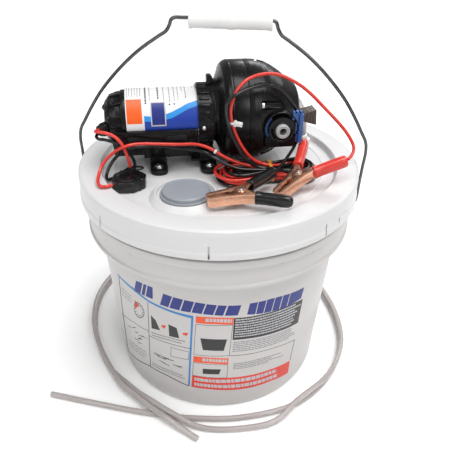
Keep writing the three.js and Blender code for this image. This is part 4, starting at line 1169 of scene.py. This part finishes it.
def loft(sections, power=2.5, sides=48):
    """A closed skin through rounded-box sections at (x, half width, half height, sideways offset)."""
    verts, faces = [], []
    for x, a, b, offset in sections:
        for k in range(sides):
            t = 2 * math.pi * k / sides
            c, s = math.cos(t), math.sin(t)
            verts.append((x, offset + a * math.copysign(abs(c) ** (2 / power), c),
                          b * math.copysign(abs(s) ** (2 / power), s)))
    rows_made = len(sections)
    for i in range(rows_made - 1):
        for k in range(sides):
            n = (k + 1) % sides
            faces.append([i * sides + k, i * sides + n, (i + 1) * sides + n, (i + 1) * sides + k])
    faces += [list(range(sides)), list(range((rows_made - 1) * sides, rows_made * sides))]
    return outward(mesh_from(verts, faces))


def sleeve_mesh(mirrored, cable_end, stretch=1.0):
    sections = [(15.2, 5.0, 6.1, 0), (15.6, 5.3, 6.5, 0), (16.4, 5.4, 6.6, 0), (17.2, 5.15, 6.3, 0),
                (24, 4.9, 6.1, 0.1),
                (33, 5.0, 6.2, 0.15), (41, 5.15, 6.3, 0)]
    if cable_end:
        sections += [(47.5, 5.1, 6.2, 0), (49.6, 4.9, 6.0, 0), (50.6, 4.5, 5.5, 0), (51, 3.8, 4.6, 0)]
    else:
        sections += [(45, 5.0, 6.1, 0), (47.5, 4.6, 5.6, 0), (49.4, 3.8, 4.6, 0), (50.5, 2.7, 3.2, 0),
                     (51, 1.3, 1.6, 0)]
    sections = [(15.2 + (x - 15.2) * stretch, a, b, offset) for x, a, b, offset in sections]
    mesh = moved(loft(sections), shift(y=-3.3), turn(-29.5, "Z"))
    return mirror_y(mesh) if mirrored else mesh


def spring_mesh():
    coil = [(2.35 * math.cos(a), 2.35 * math.sin(a), -2.1 + 4.2 * k / 72) for k in range(73)
            for a in (2 * math.pi * 4.5 * k / 72 + 0.6,)]
    legs = [(9.6, 5.2, -2.1), (6, 4, -2.1)]
    tail = [(5.5, -3.6, 2.1), (9.6, -5.6, 2.1)]
    return pipe([Vector(p) for p in legs + coil + tail], 0.42, 10)


def make_clips():
    for color, frame_of in CLIPS.items():
        moving = "front" if color == "black" else "back"
        for which in ("front", "back"):
            body = color + "_lever" if which == moving else "lid"
            mirrored = which == "back"
            piece(f"{color}_jaw_{which}", lever_mesh(5.2 if which == "front" else 4.0, mirrored),
                  "copper_plate", body,
                  [f"{color}_clip_{which}_lever"], frame_of, 30)
            cable_end = (color, which) in (("red", "front"), ("black", "back"))
            sleeve = piece(f"{color}_grip_{which}",
                           sleeve_mesh(mirrored, cable_end, 1.0
                                       if cable_end or color == "black" else 1.24), color + "_vinyl", body,
                           [f"{color}_clip_{which}_sleeve"], frame_of, 50)
        pin = lathe([(0, -6.5), (1.4, -6.4, 0.4), (2.4, -6.1, 0.3), (2.4, -5.5, 0.2), (1.5, -5.5),
                     (1.5, 5.5), (2.4, 5.5, 0.2),
                     (2.4, 6.1, 0.3), (1.4, 6.4, 0.4), (0, 6.5)], 32)
        piece(color + "_rivet", pin, "steel", "lid", [color + "_clip_pin"], frame_of)
        piece(color + "_coil", spring_mesh(), "steel", "lid", [color + "_clip_spring"], frame_of)


make_clips()


# ---------------------------------------------------------------- ties on the leads
def band(name, centre, direction, radius, width, look, extra=()):
    ring = lathe([(radius, -width / 2, 0.2), (radius + 0.7, -width / 2, 0.3),
                  (radius + 0.7, width / 2, 0.3), (radius, width / 2, 0.2)], 32)
    turn_to = Vector(direction).to_track_quat("Z", "Y").to_matrix().to_4x4()
    return piece(name, moved(joined(ring, *extra), turn_to, shift(*centre)), look, "lid")


def make_ties():
    tag = bevelled(box((2.2, 10.4), (-2.6, 2.6), (-1.2, 1.0)), 0.8, 3)
    head = bevelled(box((1.6, 4.4), (-3.2, 3.2), (-1.8, 1.6)), 0.5, 2)
    ring = lathe([(1.9, -1.2, 0.2), (2.7, -1.2, 0.3), (2.7, 1.2, 0.3), (1.9, 1.2, 0.2)], 32)
    moved(ring, turn(-12, "Y"))
    moved(tag, turn(90, "X"))
    moved(head, turn(90, "X"))
    piece("loop_tie", moved(joined(ring, tag, head), turn(8, "Y"), shift(16.9, -39.5, 325.5)),
          "white_nylon", "lid")
    band("run_tie", (0.2, -41.2, 294.4), (11, -1.9, -5.6), 1.85, 2.6, "white_nylon")
    path = []
    for k in range(49):
        a = 2 * math.pi * k / 48
        c, s = math.cos(a), math.sin(a)
        path.append((TIE_X * 1000, 16.4 * math.copysign(abs(c) ** 0.8, c), 1.6
                     + 8.6 * math.copysign(abs(s) ** 0.8, s)))
    strip = pipe([Vector(p) for p in path], 0.5, 8)
    strip.transform(Matrix.Translation((TIE_X * 1000, 0, 0)) @ Matrix.Scale(3.2, 4, (1, 0, 0))
                    @ Matrix.Translation((-TIE_X * 1000, 0, 0)))
    place = shift(*(HANK_CENTRE * 1000)) @ Matrix.Rotation(HANK_YAW, 4, "Z")
    piece("twist_tie", strip, "amber_paper", "lid", (), place)
    knot = [bevelled(box((-0.9, 0.9), (-5, 1), (-0.3, 0.3)), 0.2, 1) for _ in range(2)]
    moved(knot[0], turn(24, "Z"), shift(TIE_X * 1000, 6, 10.9))
    moved(knot[1], turn(-20, "Z"), shift(TIE_X * 1000 + 0.6, 7, 11.4))
    piece("twist_tie_ends", joined(*knot), "amber_paper", "lid", (), place)


LOOKS["amber_paper"] = surface("amber_paper", (0.60, 0.27, 0.035), 0.4, tint=0.2, patch=220, grain=1600,
                               depth=0.00008)
make_ties()


# ---------------------------------------------------------------- printed panel on the pail
# Each area is its upper and its lower edge, as (degrees round the pail, height in millimetres).
LABEL = {
    "title_1": (
        [(-123, 175.8), (-120.6, 176.9), (-117.8, 177.1), (-115.2, 177.6), (-112.9, 177.4)],
        [(-125, 162.3), (-122.4, 163.4), (-119.6, 163.6), (-116.7, 164.2), (-113.4, 164.2)],
    ),
    "title_2": (
        [(-108.5, 174.1), (-103.2, 172.8), (-97.4, 172), (-92.4, 171.1), (-86.9, 169.7), (-81.4, 168.5), (-74.3, 167.6)],
        [(-110.3, 160.3), (-105, 159.9), (-98.9, 159.4), (-93.8, 159.5), (-88.2, 158.6), (-82.6, 157.6), (-75.3, 156.8)],
    ),
    "title_3": (
        [(-71.1, 168.3), (-66.2, 167.9), (-61.4, 167.9), (-56.3, 167.1), (-50.7, 165.2), (-42.1, 163.4)],
        [(-71.8, 156.4), (-66.8, 154.5), (-62.3, 153.6), (-57.1, 152.6), (-51.4, 151.2), (-42.8, 152.2)],
    ),
    "blue_bar": (
        [(-137.8, 166.4), (-124.7, 164), (-116.3, 157.6), (-108.7, 155.5), (-101.7, 153.9), (-94.8, 153)],
        [(-137.6, 163.3), (-125, 160), (-116.4, 154.6), (-108.8, 152.6), (-101.8, 150.6), (-95.2, 148.8)],
    ),
    "blue_post": ([(-95.9, 150), (-94.9, 150.4)], [(-99.5, 34.4), (-98.6, 34.3)]),
    "left_edge": ([(-137, 162.8), (-136.3, 164)], [(-148.4, 18.3), (-146.5, 22.7)]),
    "divider": ([(-117.2, 153.6), (-116.9, 154)], [(-122.4, 39.6), (-121.9, 40.4)]),
    "panel_foot": (
        [(-147.2, 21.7), (-123.4, 41.4), (-110.7, 41.8), (-99.2, 34.7)],
        [(-147.6, 19.6), (-123.5, 39.9), (-110.8, 40.3), (-99.2, 33.2)],
    ),
    "cell_1": (
        [(-143.4, 94.3), (-129.8, 104.6), (-119.5, 106.5)],
        [(-143.5, 93.2), (-129.9, 103.8), (-119.6, 105.7)],
    ),
    "cell_2": (
        [(-119.7, 99), (-107.7, 101.4), (-96.8, 101.5)],
        [(-119.7, 98.2), (-107.7, 100.6), (-96.8, 100.7)],
    ),
    "dial": ([(-126.6, 145.1), (-119.7, 145)], [(-128.6, 117.1), (-120.9, 122.1)]),
    "wedge": ([(-125.9, 145.6), (-122.8, 140.8)], [(-126.8, 130.8), (-126.5, 131.7)]),
    "pail_a": ([(-116.3, 135.7), (-113.9, 130.5)], [(-117, 114.2), (-112, 117.3)]),
    "pail_b": ([(-107.1, 131.8), (-103.1, 129.7)], [(-107.3, 113.2), (-102.2, 114.3)]),
    "arrow_a": ([(-110.9, 126.7), (-108.5, 128.8)], [(-110.9, 124), (-109.2, 122.6)]),
    "arrow_b": ([(-100.4, 124), (-97.7, 126.2)], [(-100.2, 121.4), (-98.4, 120.5)]),
    "notes_a": (
        [(-118, 108.6), (-107.3, 112), (-98.2, 112.5)],
        [(-118, 98.5), (-107.6, 102.6), (-98.8, 102.6)],
    ),
    "notes_b": (
        [(-120.6, 52), (-109.4, 53.4), (-99.8, 51.1)],
        [(-120.9, 42.9), (-109.8, 44.1), (-100, 41.4)],
    ),
    "notes_c": (
        [(-136.2, 149.8), (-131.3, 150), (-126.9, 149)],
        [(-137.5, 130.9), (-133.3, 131.3), (-128.4, 132.4)],
    ),
    "notes_d": (
        [(-140.1, 57.9), (-129.9, 63.5), (-122.8, 65.4)],
        [(-141.3, 36.8), (-131.6, 44.3), (-123.6, 47.1)],
    ),
    "sketch_a": (
        [(-138.4, 89.2), (-128, 98), (-121.1, 92.1)],
        [(-138.9, 73.2), (-131, 65.3), (-121.6, 81.4)],
    ),
    "sketch_b": (
        [(-118.2, 76.5), (-107.6, 80), (-99.3, 75)],
        [(-119, 62.5), (-109.3, 57.5), (-99.6, 59.2)],
    ),
    "inset": ([(-107.1, 95.5), (-97.8, 95.5)], [(-107.7, 79.5), (-98.3, 81.3)]),
    "header_1": (
        [(-93.8, 153.1), (-85.7, 153.3), (-77.5, 152.1)],
        [(-94, 143), (-85.7, 143.3), (-77.6, 141.9)],
    ),
    "header_2": (
        [(-95.8, 89.6), (-87.4, 89.9), (-79.1, 88.4)],
        [(-96.1, 79.2), (-87.6, 79.9), (-79.3, 77.9)],
    ),
    "block_1": ([(-92.2, 120.2), (-80.1, 119.6)], [(-91.2, 101.6), (-81.5, 101.3)]),
    "block_2": ([(-91.5, 69.6), (-82.7, 69.9)], [(-91.6, 60.7), (-83.5, 61.1)]),
    "frame_1": ([(-94.1, 141.2), (-77.7, 141.7)], [(-95.7, 91.9), (-78.8, 92.5)]),
    "frame_2": ([(-96.1, 78.6), (-79.3, 77.6)], [(-96.9, 55.3), (-79.5, 54.2)]),
    "black_text": (
        [(-77.4, 151.4), (-69.7, 150.5), (-62.9, 150.4), (-55.4, 150.1), (-48.7, 149.3), (-41.8, 147.1)],
        [(-77.6, 118.1), (-70.2, 117.1), (-62.3, 115.6), (-54.3, 114), (-48.2, 112.2), (-42, 110.7)],
    ),
    "small_text": (
        [(-77.8, 115.8), (-70.9, 115.1), (-62.9, 113.9), (-55, 112.5), (-48.8, 110.7), (-42.5, 108.6)],
        [(-78.3, 96.1), (-71.1, 94.9), (-63, 93.4), (-55.3, 92.3), (-48.8, 90.2), (-42.4, 87)],
    ),
    "rule": (
        [(-78.8, 93), (-71.1, 91.6), (-62.9, 90.6), (-55.1, 88.9), (-48.6, 85.8), (-42.2, 82.8)],
        [(-78.8, 92.3), (-71, 90.9), (-62.8, 89.9), (-55, 88.1), (-48.5, 85), (-42.1, 81.9)],
    ),
    "box_edge": ([(-42.4, 82.7), (-42, 82)], [(-42.9, 47.7), (-42.5, 47)]),
    "lower_text": (
        [(-77.2, 79.6), (-70.8, 79), (-63.2, 79.2), (-55.8, 77.7), (-47.7, 73.4)],
        [(-77.4, 66.3), (-70.8, 65.6), (-63.5, 65.4), (-56, 63.5), (-47.8, 59.2)],
    ),
    "red_band": (
        [(-96.9, 55.3), (-89.3, 54.5), (-79.5, 54.2), (-67.1, 52.8), (-56.3, 51.2), (-42.8, 46.4)],
        [(-97.8, 33.5), (-87.9, 33.1), (-77.4, 30.9), (-66.4, 28.9), (-55.1, 27.8), (-42.3, 22.6)],
    ),
}


def on_pail(degrees, z, height):
    (foot_radius, foot_z), (ring_radius, ring_z) = PAIL_WALL
    a = math.radians(degrees)
    r = foot_radius + (z - foot_z) * (ring_radius - foot_radius) / (ring_z - foot_z) + height
    return Vector((r * math.cos(a), r * math.sin(a), z))


def along(edge, share):
    spot = min(max(share, 0.0), 1.0) * (len(edge) - 1)
    i = min(int(spot), len(edge) - 2)
    f = spot - i
    return tuple(edge[i][k] * (1 - f) + edge[i + 1][k] * f for k in (0, 1))


def in_area(name, across, down):
    upper, lower = LABEL[name]
    a, b = along(upper, across), along(lower, across)
    return (a[0] * (1 - down) + b[0] * down, a[1] * (1 - down) + b[1] * down)


def patch(name, x0=0.0, x1=1.0, y0=0.0, y1=1.0, steps=None):
    steps = steps or max(1, 3 * (len(LABEL[name][0]) - 1))
    xs = [x0 + (x1 - x0) * k / steps for k in range(steps + 1)]
    return [in_area(name, x, y0) for x in xs] + [in_area(name, x, y1) for x in xs[::-1]]


def rows(name, count, fill=0.5, x0=0.02, x1=0.98, y0=0.06, y1=0.94, word=(0.02, 0.07), gap=0.008,
         ragged=0.15):
    """Lines of generic bars in place of small print."""
    bars = []
    for row in range(count):
        top = y0 + (y1 - y0) * row / count
        low = top + (y1 - y0) / count * fill
        spot, stop = x0, x1 - rng.uniform(0, ragged)
        while spot < stop:
            end = min(stop, spot + rng.uniform(*word))
            bars.append(patch(name, spot, end, top, low, 1))
            spot = end + gap
    return bars


def outline_of(name, edge_x, edge_y):
    """The thin ruled frame of an area."""
    return [patch(name, 0, 1, 0, edge_y), patch(name, 0, 1, 1 - edge_y, 1),
            patch(name, 0, edge_x, edge_y, 1 - edge_y, 1),
            patch(name, 1 - edge_x, 1, edge_y, 1 - edge_y, 1)]


def title_blocks(name, widths, gap=0.016):
    blocks, spot = [], 0.0
    total = sum(widths)
    for width in widths:
        end = spot + width / total
        blocks.append(patch(name, spot + gap / 2, end - gap / 2, -0.14, 1.16, 2))
        spot = end
    return blocks


def ring_marks(name):
    """A round gauge face: its rim and its twelve ticks, with no figures."""
    rim = []
    sides = 28
    for k in range(sides):
        a0, a1 = 2 * math.pi * k / sides, 2 * math.pi * (k + 1) / sides
        spots = [(a0, 0.5), (a1, 0.5), (a1, 0.45), (a0, 0.45)]
        rim.append([in_area(name, 0.5 + r * math.cos(a), 0.5 + r * math.sin(a)) for a, r in spots])
    for k in range(12):
        a = 2 * math.pi * k / 12
        spots = [(a - 0.08, 0.4), (a + 0.08, 0.4), (a + 0.1, 0.31), (a - 0.1, 0.31)]
        rim.append([in_area(name, 0.5 + r * math.cos(t), 0.5 + r * math.sin(t)) for t, r in spots])
    return rim


def strokes(name, count, width=0.05):
    """Loose line work in place of the drawings."""
    made = []
    for _ in range(count):
        x, y = rng.uniform(0, 0.8), rng.uniform(0.1, 0.85)
        dx, dy = rng.uniform(0.12, 0.3), rng.uniform(-0.12, 0.12)
        made.append([in_area(name, x, y), in_area(name, x + dx, y + dy),
                     in_area(name, x + dx, y + dy + width),
                     in_area(name, x, y + width)])
    return made


def make_pail_print():
    prints = {
        "ink_title": title_blocks("title_1", [1.0, 0.5, 0.8], 0.06)
        + title_blocks("title_2", [1.0, 1, 1.05, 1.05, 1, 0.85, 1])
        + title_blocks("title_3", [0.9, 0.9, 0.9, 0.85, 0.8, 1.2]),
        "ink_thin_blue": [patch("blue_bar"), patch("blue_post", steps=1)],
        "ink_black": [patch("black_text"), patch("divider", steps=1), patch("left_edge", steps=1),
                      patch("panel_foot"),
                      patch("cell_1"), patch("cell_2"), patch("rule"), patch("box_edge", steps=1),
                      patch("block_1", steps=2),
                      patch("block_2", steps=2), patch("pail_a", steps=1), patch("pail_b", steps=1)]
        + outline_of("frame_1", 0.012, 0.012) + outline_of("frame_2", 0.012, 0.02)
        + outline_of("inset", 0.02, 0.04)
        + ring_marks("dial") + strokes("sketch_a", 9) + strokes("sketch_b", 12),
        "ink_grey": rows("small_text", 6, 0.45) + rows("lower_text", 4, 0.45, ragged=0.3)
        + rows("notes_a", 2, 0.4)
        + rows("notes_b", 2, 0.4) + rows("notes_c", 3, 0.3, word=(0.1, 0.3), gap=0.06)
        + rows("notes_d", 3, 0.3, word=(0.06, 0.2), gap=0.04),
        "ink_red": [patch("red_band"), patch("arrow_a", steps=1), patch("arrow_b", steps=1),
                    patch("wedge", steps=1)],
        "ink_header": [patch("header_1"), patch("header_2")],
    }
    ink("ink_header", (0.80, 0.085, 0.018))
    for name, polygons in prints.items():
        piece("pail_" + name[4:], wrapped(polygons, on_pail, (2.5, 0), -0.25, 0.06), name, "pail", (),
              None, 20)
    overprint = rows("black_text", 8, 0.5, word=(0.015, 0.05), gap=0.006)
    overprint += rows("red_band", 2, 0.6, 0.03, 0.95, 0.14, 1.0, word=(0.02, 0.05), gap=0.007, ragged=0.1)
    overprint += rows("header_1", 1, 0.62, 0.26, 0.96, 0.2, 1, word=(0.06, 0.1), gap=0.02, ragged=0)
    overprint += rows("header_2", 1, 0.62, 0.26, 0.96, 0.2, 1, word=(0.06, 0.1), gap=0.02, ragged=0)
    piece("pail_overprint", wrapped(overprint, on_pail, (2.5, 0), -0.2, 0.1), "ink_pale", "pail", (),
          None, 20)


make_pail_print()


# ---------------------------------------------------------------- floor and light
def make_stage():
    bpy.ops.mesh.primitive_grid_add(x_subdivisions=4, y_subdivisions=4, size=8, location=(0, 0, -0.0002))
    floor = bpy.context.object
    floor.name = "floor"
    mat, tree, shader, coords = node_material("floor_paper")
    tone = blend_colors(tree, spread(tree, noise(tree, coords, 3), 0, 1), (0.95, 0.95, 0.95),
                        (0.97, 0.97, 0.97))
    tree.links.new(tone, shader.inputs["Base Color"])
    shader.inputs["Roughness"].default_value = 0.8
    floor.data.materials.append(mat)


def area_light(name, place, target, size, power, color=(1, 1, 1)):
    data = bpy.data.lights.new(name, "AREA")
    data.shape = "RECTANGLE"
    data.size, data.size_y = size
    data.energy = power
    data.color = color
    obj = bpy.data.objects.new(name, data)
    bpy.context.scene.collection.objects.link(obj)
    direction = Vector(target) - Vector(place)
    obj.matrix_world = Matrix.Translation(place) @ direction.to_track_quat("-Z", "Y").to_matrix().to_4x4()


def sun_light(name, direction, strength, angle, color=(1, 1, 1)):
    data = bpy.data.lights.new(name, "SUN")
    data.energy = strength
    data.angle = math.radians(angle)
    data.color = color
    obj = bpy.data.objects.new(name, data)
    bpy.context.scene.collection.objects.link(obj)
    obj.matrix_world = Vector(direction).to_track_quat("-Z", "Y").to_matrix().to_4x4()


def make_light():
    world = bpy.data.worlds.new("studio")
    bpy.context.scene.world = world
    world.use_nodes = True
    world.node_tree.nodes["Background"].inputs["Color"].default_value = (1, 1, 1, 1)
    world.node_tree.nodes["Background"].inputs["Strength"].default_value = 0.33
    sun_light("top_sun", (-0.3, 0.1, -1.0), 2.3, 40)
    sun_light("front_sun", (-0.55, 0.7, -0.5), 0.45, 20, (1, 0.985, 0.965))
    area_light("strip", (-0.55, -0.75, 1.15), (0, 0, 0.3), (0.25, 1.1), 4)
    area_light("back", (0.5, 1.0, 1.0), (0, 0, 0.3), (1.2, 0.3), 5)


make_stage()
make_light()
bpy.context.scene.view_settings.view_transform = "Standard"
